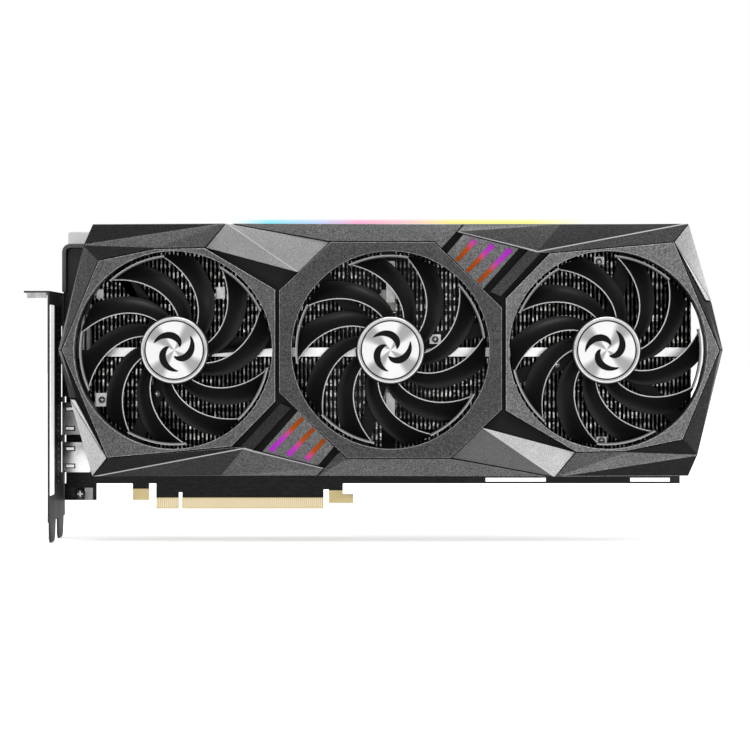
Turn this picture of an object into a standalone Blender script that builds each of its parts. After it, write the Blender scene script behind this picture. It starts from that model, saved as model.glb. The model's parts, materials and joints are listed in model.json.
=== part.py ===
"""Graphics card with a three-fan cooler, standing upright on its contact edge.

Frame: +X runs from the slot bracket to the tail, -Y is the side that the fans blow in from, +Z is up.
The origin is the middle of the long contact tongue's bottom face, on the middle plane of the board.
"""
import math

import bmesh
import bpy
from mathutils import Matrix, Vector

MM = 0.001

# ---------------------------------------------------------------- driving dimensions
GAP = 0.3 * MM                    # clearance between pieces that touch
SEAM = 0.5 * MM                   # visible joint between neighbouring front pieces

COOLER_DEPTH = 51.2 * MM          # board middle plane to the front of the bezels
BEZEL_THICKNESS = 4.0 * MM
SHROUD_WALL = 2.0 * MM
SHROUD_REAR = 15.0 * MM           # board middle plane to the rear edge of the shroud's skirt
COLLAR_WALL = 1.5 * MM            # tube round each fan, behind the front plate

FAN_HOLE_RADIUS = 46.9 * MM       # opening in each bezel
FAN_BRIDGE = 9.1 * MM             # least distance between two neighbouring openings
BLADE_CLEARANCE = 1.4 * MM        # opening to blade tip
HUB_RADIUS = 16.3 * MM
HUB_HEIGHT = 8.1 * MM
HUB_WALL = 1.5 * MM
CAP_THICKNESS = 0.7 * MM
SHAFT_RADIUS = 1.5 * MM
BLADE_PAIRS = 5
BLADE_SWEEP = math.radians(50)    # how far the blade turns from hub to tip
BLADE_WIDTH = math.radians(20)    # angle that a blade covers
PAIR_SPREAD = math.radians(34.8)  # angle between the two blades of a pair
BLADE_THICKNESS = 1.3 * MM
BLADE_DEPTH = 7.4 * MM
REST_ANGLES = (math.radians(26.3), math.radians(9.2), math.radians(50.2))

BASE_THICKNESS = 2.0 * MM
ARM_WIDTH = 7.0 * MM
ARM_ANGLES = (math.radians(245.4), math.radians(13.0), math.radians(197.0))

FIN_PITCH = 2.0 * MM
FIN_THICKNESS = 0.5 * MM
FIN_ROOT = 0.8 * MM               # folded root that ties a stack's fins together
PIPE_RADIUS = 3.0 * MM
PIPE_COUNT = 6

BOARD_THICKNESS = 1.6 * MM
TONGUE_HEIGHT = 12.7 * MM
TONGUE_LENGTH = 70.9 * MM
KEY_GAP = 1.9 * MM
BOARD_HEIGHT = 119.0 * MM         # without the tongues
SHROUD_LIFT = 6.8 * MM            # board's lower edge to the shroud's lower edge
BRACKET_FROM_TONGUE = 95.85 * MM  # middle of the long tongue to the bracket's outer face
BRACKET_CLEARANCE = 7.0 * MM      # bracket's outer face to the tip of the shroud
BRACKET_THICKNESS = 0.9 * MM
SLOT_PITCH = 20.32 * MM
BOARD_END = 92.0 * MM             # centre fan to the board's tail end
BACKPLATE_THICKNESS = 1.2 * MM
BACKPLATE_STANDOFF = 2.2 * MM

# ---------------------------------------------------------------- sizes that follow
FRONT = -COOLER_DEPTH
BEZEL_BACK = FRONT + BEZEL_THICKNESS
SHROUD_FRONT = BEZEL_BACK + GAP
SHROUD_PLATE_BACK = SHROUD_FRONT + SHROUD_WALL
CAP_FRONT = SHROUD_FRONT + GAP
HUB_FRONT = CAP_FRONT + CAP_THICKNESS + GAP
HUB_BACK = HUB_FRONT + HUB_HEIGHT
BASE_FRONT = HUB_BACK + 3 * GAP
BASE_BACK = BASE_FRONT + BASE_THICKNESS
STRIP_FRONT = BASE_BACK + GAP
STRIP_BACK = STRIP_FRONT + FIN_THICKNESS
FIN_FRONT = STRIP_BACK + GAP
FIN_BACK = -SHROUD_REAR - GAP
PIPE_LEVEL = FIN_BACK + GAP + PIPE_RADIUS
BOARD_FRONT = -BOARD_THICKNESS / 2
BOARD_BACK = BOARD_THICKNESS / 2
BLADE_RADIUS = FAN_HOLE_RADIUS - BLADE_CLEARANCE
FAN_PITCH = 2 * FAN_HOLE_RADIUS + FAN_BRIDGE
DRAWN_HOLE = 46.9 * MM            # the facets' corners are drawn for an opening of this radius,
DRAWN_TIP = 55.1                  # with the shroud's tip this far from the end fan's axis,
DRAWN_FOOT = 60.2                 # its lower edge this far below the axes
DRAWN_SIDE = 52.9                 # and the centre bezel's side this far from the centre fan's axis
FACET = FAN_HOLE_RADIUS / DRAWN_HOLE
BRACKET_FACE = FAN_PITCH + DRAWN_TIP * MM * FACET + BRACKET_CLEARANCE
AXIS_X = BRACKET_FACE - BRACKET_FROM_TONGUE
BOARD_EDGE = -DRAWN_FOOT * MM * FACET - SHROUD_LIFT
AXIS_Z = TONGUE_HEIGHT - BOARD_EDGE
FAN_X = {"left": AXIS_X - FAN_PITCH, "centre": AXIS_X, "right": AXIS_X + FAN_PITCH}
COLLAR_RADIUS = FAN_HOLE_RADIUS + 2 * GAP + COLLAR_WALL


# ---------------------------------------------------------------- finishes
def finish(name, colour, roughness, metallic=0.0, glow=0.0):
    """A Principled material, kept under its name."""
    material = bpy.data.materials.new(name)
    material.use_nodes = True
    shader = material.node_tree.nodes["Principled BSDF"]
    shader.inputs["Base Color"].default_value = (*colour, 1.0)
    shader.inputs["Roughness"].default_value = roughness
    shader.inputs["Metallic"].default_value = metallic
    if glow:
        shader.inputs["Emission Color"].default_value = (*colour, 1.0)
        shader.inputs["Emission Strength"].default_value = glow
    return material


for leftover in list(bpy.data.objects):
    bpy.data.objects.remove(leftover)

SHELL = finish("shell_plastic", (0.03, 0.03, 0.032), 0.5)
SPECKLED = finish("speckled_grey_plastic", (0.1, 0.1, 0.105), 0.45, 0.3)
BRIGHT = finish("bright_grey_trim", (0.35, 0.35, 0.36), 0.35, 0.6)
BLADE = finish("blade_plastic", (0.012, 0.012, 0.013), 0.4)
LIGHT = finish("light_guide", (0.8, 0.35, 0.7), 0.3, 0.0, 1.0)
ALUMINIUM = finish("aluminium", (0.75, 0.75, 0.76), 0.3, 1.0)
STEEL = finish("steel", (0.6, 0.6, 0.62), 0.3, 1.0)
COPPER = finish("plated_copper", (0.8, 0.75, 0.7), 0.25, 1.0)
MAGNET = finish("magnet", (0.08, 0.08, 0.08), 0.6)
WINDING = finish("winding_and_core", (0.35, 0.16, 0.07), 0.4, 0.6)
BOARD = finish("board_laminate", (0.015, 0.015, 0.016), 0.5)
CHIP = finish("chip_package", (0.05, 0.07, 0.05), 0.4)
SOCKET = finish("socket_plastic", (0.02, 0.02, 0.02), 0.5)
GRAPHITE = finish("graphite_plate", (0.06, 0.06, 0.065), 0.4, 0.7)
COLLECTION = bpy.context.scene.collection


# ---------------------------------------------------------------- shape helpers
def add_object(name, mesh, material):
    piece = bpy.data.objects.new(name, mesh)
    if not mesh.materials:
        mesh.materials.append(material)
    COLLECTION.objects.link(piece)
    return piece


def mesh_from(bm, name):
    bmesh.ops.recalc_face_normals(bm, faces=bm.faces)
    if bm.calc_volume(signed=True) < 0:
        bmesh.ops.reverse_faces(bm, faces=bm.faces)
    mesh = bpy.data.meshes.new(name)
    bm.to_mesh(mesh)
    bm.free()
    return mesh


def extruded(name, outline, travel, material, holes=()):
    """A flat outline with holes in it, in space, pushed along the travel vector."""
    bm = bmesh.new()
    edges = []
    for loop in (outline, *holes):
        verts = [bm.verts.new(point) for point in loop]
        edges += [bm.edges.new(pair) for pair in zip(verts, verts[1:] + verts[:1])]
    if holes:
        bmesh.ops.triangle_fill(bm, use_beauty=True, edges=edges)
    else:
        bm.faces.new(verts)
    pushed = bmesh.ops.extrude_face_region(bm, geom=bm.faces[:])["geom"]
    moved = [item for item in pushed if isinstance(item, bmesh.types.BMVert)]
    bmesh.ops.translate(bm, verts=moved, vec=Vector(travel))
    return add_object(name, mesh_from(bm, name), material)


def front_plate(name, outline, front, back, material, holes=()):
    """A plate that lies across Y, from outlines of (x, z)."""
    loops = [[(x, front, z) for x, z in loop] for loop in (outline, *holes)]
    return extruded(name, loops[0], (0, back - front, 0), material, loops[1:])


def block(name, low, high, material):
    """A box between two corners, each given from the centre fan's axis."""
    outline = [(low[0], low[2]), (high[0], low[2]), (high[0], high[2]), (low[0], high[2])]
    return front_plate(name, from_axis(outline), low[1], high[1], material)


def circle(x, z, radius, sides=48):
    turns = [2 * math.pi * step / sides for step in range(sides)]
    return [(x + radius * math.cos(turn), z + radius * math.sin(turn)) for turn in turns]


def from_axis(points):
    """Points given from the centre fan's axis, in the part's own frame."""
    return [(AXIS_X + u, AXIS_Z + w) for u, w in points]


def turned(name, profile, x, z, material, sides=32):
    """A closed (radius, y) profile turned about the fan axis at x, z; a radius of 0 closes on the axis."""
    bm = bmesh.new()
    rings = []
    for radius, y in profile:
        if radius == 0:
            rings.append([bm.verts.new((x, y, z))] * sides)
        else:
            rings.append([bm.verts.new((px, y, pz)) for px, pz in circle(x, z, radius, sides)])
    for ring, after in zip(rings, rings[1:] + rings[:1]):
        for step in range(sides):
            follow = (step + 1) % sides
            corners = [ring[step], ring[follow], after[follow], after[step]]
            corners = list(dict.fromkeys(corners))
            if len(corners) > 2:
                bm.faces.new(corners)
    mesh = mesh_from(bm, name)
    mesh.shade_smooth()
    mesh.set_sharp_from_angle(angle=math.radians(40))
    return add_object(name, mesh, material)


def combine(piece, tool, operation):
    """Cut the piece with the tool, or join the tool to it; the tool stays as a hidden wire guide."""
    tool.hide_render = True
    tool.display_type = "WIRE"
    step = piece.modifiers.new(tool.name, "BOOLEAN")
    step.operation = operation
    step.object = tool
    step.solver = "EXACT"


def inset(loop, distance):
    """Move every side of a closed loop of (x, z) inwards by the distance."""
    area = sum(a[0] * b[1] - b[0] * a[1] for a, b in zip(loop, loop[1:] + loop[:1]))
    turn = 1 if area > 0 else -1
    moved = []
    for before, corner, after in zip(loop[-1:] + loop[:-1], loop, loop[1:] + loop[:1]):
        arriving = (Vector(corner) - Vector(before)).normalized()
        leaving = (Vector(after) - Vector(corner)).normalized()
        inward = Vector((-arriving.y - leaving.y, arriving.x + leaving.x)) * turn
        share = 1 + arriving.dot(leaving)
        moved.append(tuple(Vector(corner) + inward * distance / share))
    return moved


# ---------------------------------------------------------------- corners of the front facets
# Each corner is (across, up) from its own fan axis in millimetres, for the drawn opening. A corner whose
# name starts with "-" is the same corner after half a turn about the centre fan.
LEFT_SIDE = 48.5                  # left fan's axis to its bezel's side
STRETCH = ((FAN_PITCH - SEAM * 3) / MM / FACET - LEFT_SIDE) / DRAWN_SIDE
BESIDE_CENTRE = {
    "c1": (-28.4, 51.3), "c2": (20.7, 51.3), "c3": (DRAWN_SIDE, 20.1), "c4": (DRAWN_SIDE, -28.2),
    "inner": (-43.7, 36.6), "band_end": (34.8, 59.8), "band_low": (24.1, 47.9), "ridge_start": (31.3, 55.8),
    "panel_1": (34.3, 55.0), "panel_2": (26.4, 45.7), "panel_3": (43.8, 28.5), "panel_4": (61.2, 48.2),
}
BESIDE_LEFT = {
    "l1": (-35.4, 42.4), "l2": (-8.5, 47.9), "l3": (15.0, 48.4), "l4": (LEFT_SIDE, 28.7),
    "l5": (LEFT_SIDE, -24.4), "l6": (27.7, -45.8), "l7": (-31.3, -51.1), "l8": (-52.8, 0.0),
    "apex": (25.0, 60.2), "top_corner": (-38.6, 60.0), "top_side": (-42.9, 49.9), "tip": (-DRAWN_TIP, 0.0),
    "low_side": (-49.6, -23.0), "low_corner": (-38.8, -DRAWN_FOOT), "trim_foot": (-46.4, -23.3),
    "fold": (22.5, -59.8), "ridge_turn": (33.7, -46.2), "strip_1": (37.9, -47.3), "strip_2": (56.0, -27.5),
    "strip_3": (50.6, -25.3), "strip_4": (31.6, -46.0),
}


def corner(name):
    """The (x, z) of a named corner."""
    plain = name.lstrip("-")
    if plain in BESIDE_CENTRE:
        across, up = BESIDE_CENTRE[plain]
        across *= STRETCH
        shift = 0.0
    else:
        across, up = BESIDE_LEFT[plain]
        shift = -FAN_PITCH
    side = -1 if name.startswith("-") else 1
    return AXIS_X + side * (shift + across * MM * FACET), AXIS_Z + side * up * MM * FACET


def half_turn(names):
    return [name[1:] if name.startswith("-") else "-" + name for name in names]


def relief(name, facets, depths, back, material):
    """A faceted piece: each facet lists its corners, each corner lies at its own depth behind the front."""
    uses = {}
    for facet in facets:
        for pair in zip(facet, facet[1:] + facet[:1]):
            uses.setdefault(frozenset(pair), []).append(pair)
    after = {pairs[0][0]: pairs[0][1] for pairs in uses.values() if len(pairs) == 1}
    rim = [next(iter(after))]
    while after[rim[-1]] != rim[0]:
        rim.append(after[rim[-1]])
    places = {key: corner(key) for facet in facets for key in facet}
    places.update(zip(rim, inset([places[key] for key in rim], SEAM / 2)))
    bm = bmesh.new()
    front = {key: bm.verts.new((x, FRONT + depths[key] * MM, z)) for key, (x, z) in places.items()}
    rear = {key: bm.verts.new((places[key][0], back, places[key][1])) for key in rim}
    for facet in facets:
        bm.faces.new([front[key] for key in facet])
    for key, follow in zip(rim, rim[1:] + rim[:1]):
        bm.faces.new([front[follow], front[key], rear[key], rear[follow]])
    bm.faces.new([rear[key] for key in rim])
    return add_object(name, mesh_from(bm, name), material)


def relief_pair(names, facets, depths, back, material):
    """The piece and its copy after half a turn about the centre fan."""
    relief(names[0], facets, depths, back, material)
    turned_facets = [half_turn(facet) for facet in facets]
    turned_depths = dict(zip(half_turn(list(depths)), depths.values()))
    relief(names[1], turned_facets, turned_depths, back, material)


# ---------------------------------------------------------------- bezels and front trims
LEFT_BEZEL = ["l1", "l2", "l3", "l4", "l5", "l6", "l7", "l8"]
CENTRE_BEZEL = ["c1", "c2", "c3", "c4", "-c1", "-c2", "-c3", "-c4"]
SILHOUETTE = ["top_corner", "top_side", "tip", "low_side", "low_corner"]


def bezels():
    outlines = {"left": LEFT_BEZEL, "centre": CENTRE_BEZEL, "right": half_turn(LEFT_BEZEL)}
    for side, names in outlines.items():
        outline = inset([corner(name) for name in names], SEAM / 2)
        hole = circle(FAN_X[side], AXIS_Z, FAN_HOLE_RADIUS, 64)
        front_plate(f"bezel_{side}", outline, FRONT, BEZEL_BACK, SPECKLED, [hole])


def front_trims():
    relief_pair(("trim_top_silver", "trim_bottom_silver"),
                [["apex", "l3", "inner"], ["apex", "inner", "c1"]],
                {"apex": 1.0, "l3": 2.0, "inner": 0.0, "c1": 2.0}, BEZEL_BACK, BRIGHT)
    relief_pair(("edge_band_top", "edge_band_bottom"),
                [["apex", "c1", "c2", "band_end"], ["c2", "band_low", "ridge_start", "band_end"]],
                {"apex": 1.4, "c1": 0.4, "c2": 0.4, "band_low": 0.4, "ridge_start": 0.8, "band_end": 1.4},
                BEZEL_BACK, SPECKLED)
    relief_pair(("corner_frame_left", "corner_frame_right"),
                [["top_corner", "top_side", "apex"], ["top_side", "l1", "l2"], ["top_side", "l2", "apex"],
                 ["l2", "l3", "apex"], ["top_side", "tip", "l8", "l1"], ["tip", "low_side", "trim_foot"],
                 ["tip", "trim_foot", "l8"], ["trim_foot", "l7", "l8"]],
                {"top_corner": 3.2, "top_side": 2.4, "apex": 1.0, "l1": 0.5, "l2": 0.5, "l3": 0.5,
                 "tip": 3.0, "l8": 0.8, "low_side": 3.0, "trim_foot": 1.8, "l7": 0.8},
                BEZEL_BACK, SPECKLED)
    relief_pair(("end_trim_left", "end_trim_right"),
                [["l7", "trim_foot", "low_side"], ["l7", "low_side", "low_corner"]],
                {"l7": 0.4, "trim_foot": 1.2, "low_side": 3.0, "low_corner": 3.0}, BEZEL_BACK, BRIGHT)
    relief_pair(("cover_bottom_left", "cover_top_right"),
                [["-band_end", "-ridge_start", "strip_1", "ridge_turn", "fold"],
                 ["fold", "ridge_turn", "low_corner"],
                 ["ridge_turn", "strip_4", "l6", "l7", "low_corner"],
                 ["strip_1", "strip_2", "strip_3", "strip_4", "ridge_turn"]],
                {"-band_end": 2.4, "-ridge_start": 0.3, "strip_1": 0.1, "ridge_turn": 0.0, "fold": 2.6,
                 "low_corner": 2.8, "strip_4": 0.2, "l6": 0.6, "l7": 0.8, "strip_2": 0.5, "strip_3": 0.5},
                BEZEL_BACK, SPECKLED)


SLOT_ENDS = (((40.0, 51.9), (31.2, 42.2)), ((48.5, 49.8), (36.2, 37.1)), ((56.9, 47.8), (41.5, 32.1)))
SLOT_WIDTH = 2.7 * MM
SLOT_TAPER = 0.68                 # width at a slot's inner end, as a share of its outer end
PANEL_SINK = 0.4 * MM
PANEL_THICKNESS = 1.9 * MM


def light_panels():
    """Slotted panels beside the centre bezel, each with the light guide that shines through its slots."""
    outline = [corner(name) for name in ("panel_1", "panel_2", "panel_3", "panel_4")]
    panel_front = FRONT + PANEL_SINK
    panel_back = panel_front + PANEL_THICKNESS
    slots = []
    for start, end in SLOT_ENDS:
        start, end = (Vector((u * STRETCH, w)) * MM * FACET for u, w in (start, end))
        across = (end - start).orthogonal().normalized() * SLOT_WIDTH / 2
        loop = [start + across, start - across, end - across * SLOT_TAPER, end + across * SLOT_TAPER]
        slots.append([(AXIS_X + point.x, AXIS_Z + point.y) for point in loop])
    for place, side in (("top", 1), ("bottom", -1)):
        def about_axis(loop):
            return [(AXIS_X + side * (x - AXIS_X), AXIS_Z + side * (z - AXIS_Z)) for x, z in loop]
        front_plate(f"light_panel_{place}", about_axis(inset(outline, SEAM / 2)), panel_front, panel_back,
                    SPECKLED, [about_axis(slot) for slot in slots])
        front_plate(f"light_guide_{place}", about_axis(inset(outline, SEAM)), panel_back + GAP, BEZEL_BACK,
                    LIGHT)


# ---------------------------------------------------------------- shroud body
def shroud_outline():
    return inset([corner(name) for name in SILHOUETTE + half_turn(SILHOUETTE)], GAP)


def shroud():
    """A tray, open at the back: front plate, a skirt round it, and a tube behind each fan opening."""
    outline = shroud_outline()
    body = front_plate("shroud_body", outline, SHROUD_FRONT, -SHROUD_REAR, SHELL)
    hollow = front_plate("shroud_hollow_guide", inset(outline, SHROUD_WALL), SHROUD_PLATE_BACK,
                         -SHROUD_REAR + SHROUD_WALL, SHELL)
    combine(body, hollow, "DIFFERENCE")
    inside = COLLAR_RADIUS - COLLAR_WALL
    root = SHROUD_FRONT + SHROUD_WALL / 2
    for side, x in FAN_X.items():
        hole = circle(x, AXIS_Z, FAN_HOLE_RADIUS + GAP, 64)
        opening = front_plate(f"fan_opening_guide_{side}", hole, SHROUD_FRONT - SHROUD_WALL,
                              SHROUD_PLATE_BACK + SHROUD_WALL, SHELL)
        combine(body, opening, "DIFFERENCE")
        collar = turned(f"collar_guide_{side}", [(inside, root), (COLLAR_RADIUS, root),
                                                 (COLLAR_RADIUS, HUB_BACK), (inside, HUB_BACK)],
                        x, AXIS_Z, SHELL, 64)
        combine(body, collar, "UNION")


LIGHT_BAR_START = -75.0
LIGHT_BAR_END = 92.0
LIGHT_BAR_HEIGHT = 1.7 * MM
LIGHT_BAR_DEPTH = 8.0 * MM


def light_bar():
    """A diffuser along the shroud's top edge."""
    low = corner("apex")[1] - AXIS_Z + GAP
    block("light_bar", (LIGHT_BAR_START * MM * FACET, SHROUD_FRONT, low),
          (LIGHT_BAR_END * MM * FACET, SHROUD_FRONT + LIGHT_BAR_DEPTH, low + LIGHT_BAR_HEIGHT), LIGHT)


# ---------------------------------------------------------------- fans
def polar(radius, angle, y):
    return Vector((radius * math.cos(angle), y, radius * math.sin(angle)))


def blade(name, tip_angle):
    """One swept blade: the front edge runs from hub to tip, the body leans back and clockwise."""
    root = HUB_RADIUS - HUB_WALL / 2
    stations = [root + (BLADE_RADIUS - root) * share for share in (0, 0.25, 0.5, 0.75, 1)]
    chord = ((0.0, 0.0), (0.45, 0.62), (1.0, 1.0))
    drop = BLADE_DEPTH - BLADE_THICKNESS
    rows = []
    for radius in stations:
        lead = tip_angle - BLADE_SWEEP * (BLADE_RADIUS - radius) / (BLADE_RADIUS - root)
        top = [polar(radius, lead - BLADE_WIDTH * share, HUB_FRONT + GAP + fall * drop)
               for share, fall in chord]
        under = [point + Vector((0, BLADE_THICKNESS, 0)) for point in reversed(top)]
        rows.append(top + under)
    bm = bmesh.new()
    rings = [[bm.verts.new(point) for point in row] for row in rows]
    for ring, after in zip(rings, rings[1:]):
        for step in range(len(ring)):
            follow = (step + 1) % len(ring)
            bm.faces.new([ring[step], ring[follow], after[follow], after[step]])
    for ring in (rings[0], rings[-1]):
        bm.faces.new([ring[0], ring[1], ring[4], ring[5]])
        bm.faces.new([ring[1], ring[2], ring[3], ring[4]])
    return add_object(name, mesh_from(bm, name), BLADE)


LINK_WIDTH = 1.4 * MM
LINK_THICKNESS = 1.6 * MM
LINK_STEPS = 6


def blade_link(name, start, end):
    """The thin arc that ties the tips of a pair of blades."""
    angles = [start + (end - start) * step / LINK_STEPS for step in range(LINK_STEPS + 1)]
    outer = BLADE_RADIUS - GAP / 2
    level = HUB_FRONT + 2 * GAP
    outline = [polar(outer, angle, level) for angle in angles]
    outline += [polar(outer - LINK_WIDTH, angle, level) for angle in reversed(angles)]
    return extruded(name, outline, (0, LINK_THICKNESS, 0), BLADE)


def rotor_mesh():
    """The hub cup joined to its blades and links, about the Y axis."""
    inside = HUB_RADIUS - HUB_WALL
    floor = HUB_FRONT + HUB_WALL
    hub = turned("rotor_hub_guide", [(0, HUB_FRONT), (HUB_RADIUS, HUB_FRONT), (HUB_RADIUS, HUB_BACK),
                                     (inside, HUB_BACK), (inside, floor), (0, floor)], 0, 0, BLADE, 40)
    lap = math.radians(2)
    tools = []
    for pair in range(BLADE_PAIRS):
        tip = 2 * math.pi * pair / BLADE_PAIRS
        tools.append(blade(f"blade_guide_{pair}_a", tip))
        tools.append(blade(f"blade_guide_{pair}_b", tip + PAIR_SPREAD))
        tools.append(blade_link(f"link_guide_{pair}", tip - lap, tip + PAIR_SPREAD))
    for tool in tools:
        combine(hub, tool, "UNION")
    hub.hide_render = True
    hub.display_type = "WIRE"
    mesh = bpy.data.meshes.new_from_object(hub.evaluated_get(bpy.context.evaluated_depsgraph_get()))
    for guide in (*tools, hub):
        bpy.data.objects.remove(guide)
    mesh.shade_smooth()
    mesh.set_sharp_from_angle(angle=math.radians(30))
    return mesh


def leg_box(side, index, angle, length):
    """A post at an arm's tip, which reaches forward to the shroud's front plate."""
    reach = COLLAR_RADIUS + GAP
    half = ARM_WIDTH / 2 - GAP
    corners = [(reach, -half), (reach + LEG_DEPTH, -half), (reach + LEG_DEPTH, half), (reach, half)]
    spin = Matrix.Rotation(angle, 2)
    outline = [spin @ Vector(point) for point in corners]
    outline = [(FAN_X[side] + point.x, AXIS_Z + point.y) for point in outline]
    front = SHROUD_PLATE_BACK + GAP
    return front_plate(f"leg_guide_{side}_{index}", outline, front, front + length, SHELL)


LEG_DEPTH = 2.6 * MM
BASE_RADIUS = HUB_RADIUS + 0.7 * MM
BOSS_RADIUS = SHAFT_RADIUS + 2.4 * MM
ARMS = 3


def fan_base(side, first_arm):
    """The motor base: a disc with a bearing boss and three arms that end in posts."""
    x = FAN_X[side]
    outline = []
    half_angle = math.asin(ARM_WIDTH / 2 / BASE_RADIUS)
    tip = COLLAR_RADIUS + 2 * GAP + LEG_DEPTH
    steps = 6
    for index in range(ARMS):
        angle = first_arm + 2 * math.pi * index / ARMS
        along = Vector((math.cos(angle), math.sin(angle)))
        across = Vector((-along.y, along.x)) * ARM_WIDTH / 2
        outline += [tuple(along * tip - across), tuple(along * tip + across)]
        span = 2 * math.pi / ARMS - 2 * half_angle
        for step in range(steps + 1):
            turn = angle + half_angle + span * step / steps
            outline.append((BASE_RADIUS * math.cos(turn), BASE_RADIUS * math.sin(turn)))
    outline = [(x + px, AXIS_Z + pz) for px, pz in outline]
    base = front_plate(f"fan_base_{side}", outline, BASE_FRONT, BASE_BACK, SHELL)
    boss_front = HUB_FRONT + HUB_WALL + 4 * GAP
    boss_back = BASE_BACK - GAP
    profile = [(0, boss_front), (BOSS_RADIUS, boss_front), (BOSS_RADIUS, boss_back), (0, boss_back)]
    boss = turned(f"boss_guide_{side}", profile, x, AXIS_Z, SHELL, 20)
    combine(base, boss, "UNION")
    bore = SHAFT_RADIUS + GAP
    end = BASE_BACK - 2 * GAP
    profile = [(0, HUB_FRONT), (bore, HUB_FRONT), (bore, end), (0, end)]
    drill = turned(f"bore_guide_{side}", profile, x, AXIS_Z, SHELL, 20)
    combine(base, drill, "DIFFERENCE")
    length = BASE_BACK - GAP - SHROUD_PLATE_BACK - GAP
    for index in range(ARMS):
        combine(base, leg_box(side, index, first_arm + 2 * math.pi * index / ARMS, length), "UNION")


def fans():
    rotor = rotor_mesh()
    inside = HUB_RADIUS - HUB_WALL - GAP
    floor = HUB_FRONT + HUB_WALL + GAP
    ring = 1.8 * MM
    for index, (side, x) in enumerate(FAN_X.items()):
        axle = bpy.data.objects.new(f"fan_axis_{side}", None)
        axle.location = (x, 0, AXIS_Z)
        axle.rotation_euler = (0, -REST_ANGLES[index], 0)
        COLLECTION.objects.link(axle)
        add_object(f"fan_rotor_{side}", rotor, BLADE).parent = axle
        edge = HUB_RADIUS - GAP
        cap = [(0, CAP_FRONT), (edge - CAP_THICKNESS, CAP_FRONT), (edge, CAP_FRONT + CAP_THICKNESS / 2),
               (edge, CAP_FRONT + CAP_THICKNESS), (0, CAP_FRONT + CAP_THICKNESS)]
        turned(f"fan_cap_{side}", cap, 0, 0, ALUMINIUM, 40).parent = axle
        shaft = [(0, floor), (SHAFT_RADIUS, floor), (SHAFT_RADIUS, BASE_FRONT), (0, BASE_FRONT)]
        turned(f"fan_shaft_{side}", shaft, 0, 0, STEEL, 16).parent = axle
        magnet = [(inside - ring, floor), (inside, floor), (inside, HUB_BACK), (inside - ring, HUB_BACK)]
        turned(f"magnet_ring_{side}", magnet, 0, 0, MAGNET, 32).parent = axle
        outer = inside - ring - 2 * GAP
        inner = BOSS_RADIUS + GAP
        coil = [(inner, floor + GAP), (outer, floor + GAP),
                (outer, BASE_FRONT - GAP), (inner, BASE_FRONT - GAP)]
        turned(f"fan_stator_{side}", coil, x, AXIS_Z, WINDING, 24)
        fan_base(side, ARM_ANGLES[index])


# ---------------------------------------------------------------- heatsink
FIN_HALF_HEIGHT = 57.0 * MM * FACET
STACK_SPLIT = 2.6 * MM            # centre fan axis to the first fin on each side
STACK_START = FAN_PITCH + 42.1 * MM * FACET
STACK_END = FAN_PITCH + 43.1 * MM * FACET
STRIP_HEIGHT = 4.3 * MM
STRIP_DROP = 1.0 * MM


def fin_stack(name, start, end):
    """A comb of upright fins on a folded root."""
    count = int((end - start - FIN_THICKNESS) / FIN_PITCH + 1e-6) + 1
    root_front = FIN_BACK - FIN_ROOT
    low = AXIS_Z - FIN_HALF_HEIGHT
    last = start + (count - 1) * FIN_PITCH + FIN_THICKNESS
    outline = [(last, FIN_BACK), (start, FIN_BACK)]
    for index in range(count):
        x = start + index * FIN_PITCH
        outline += [(x, root_front), (x, FIN_FRONT), (x + FIN_THICKNESS, FIN_FRONT),
                    (x + FIN_THICKNESS, root_front)]
    outline.remove((start, root_front))
    outline.remove(outline[-1])
    loop = [(AXIS_X + x, y, low) for x, y in outline]
    stack = extruded(name, loop, (0, 0, 2 * FIN_HALF_HEIGHT), ALUMINIUM)
    room = front_plate(f"{name}_room_guide", inset(shroud_outline(), SHROUD_WALL + 2 * GAP), FIN_FRONT - MM,
                       FIN_BACK + MM, ALUMINIUM)
    combine(stack, room, "INTERSECT")


PIPE_END_MARGIN = 14.0 * MM       # pipe end to the last fin
PIPE_STATIONS = (-1, -0.8, -0.68, -0.56, -0.44, -0.32, -0.24, 0, 0.24, 0.32, 0.44, 0.56, 0.68, 0.8, 1)
CHIP_X = -8.0 * MM                # processor centre, from the centre fan axis
PACKAGE_SIDE = 40.0 * MM
PACKAGE_HEIGHT = 2.4 * MM
PLATE_REACH = PACKAGE_SIDE / 2 + 10 * MM


def heat_pipe(index):
    """A round pipe behind the fins: close to its neighbours over the processor, spread out at the ends."""
    middle = (PIPE_COUNT - 1) / 2
    place = index - middle
    near = place * (2 * PIPE_RADIUS + 2 * GAP)
    far = place / middle * (SOCKET_TOP - SOCKET_HEIGHT - PIPE_RADIUS - 4 * GAP)
    reach = STACK_START - PIPE_END_MARGIN
    straight = PLATE_REACH + 4 * MM
    slope = 52.0 * MM
    points = []
    for share in PIPE_STATIONS:
        x = share * reach
        travel = min(max((abs(x) - straight) / slope, 0), 1)
        blend = travel * travel * (3 - 2 * travel)
        points.append((AXIS_X + x, PIPE_LEVEL, AXIS_Z + near + (far - near) * blend))
    curve = bpy.data.curves.new(f"heat_pipe_{index + 1}", "CURVE")
    curve.dimensions = "3D"
    curve.bevel_depth = PIPE_RADIUS
    curve.bevel_resolution = 2
    curve.use_fill_caps = True
    spline = curve.splines.new("POLY")
    spline.points.add(len(points) - 1)
    for spot, point in zip(spline.points, points):
        spot.co = (*point, 1.0)
    add_object(f"heat_pipe_{index + 1}", curve, COPPER)


BOARD_TOP = BOARD_EDGE + BOARD_HEIGHT
PLATE_LOW_EDGE = BOARD_EDGE + 12 * MM
PLATE_HIGH_EDGE = BOARD_TOP + 1 * MM
MID_PLATE_THICKNESS = 1.2 * MM
RIM_WIDTH = 2.1 * MM
RIM_DEPTH = 4.0 * MM
RIM_LENGTH = 24.0 * MM


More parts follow.
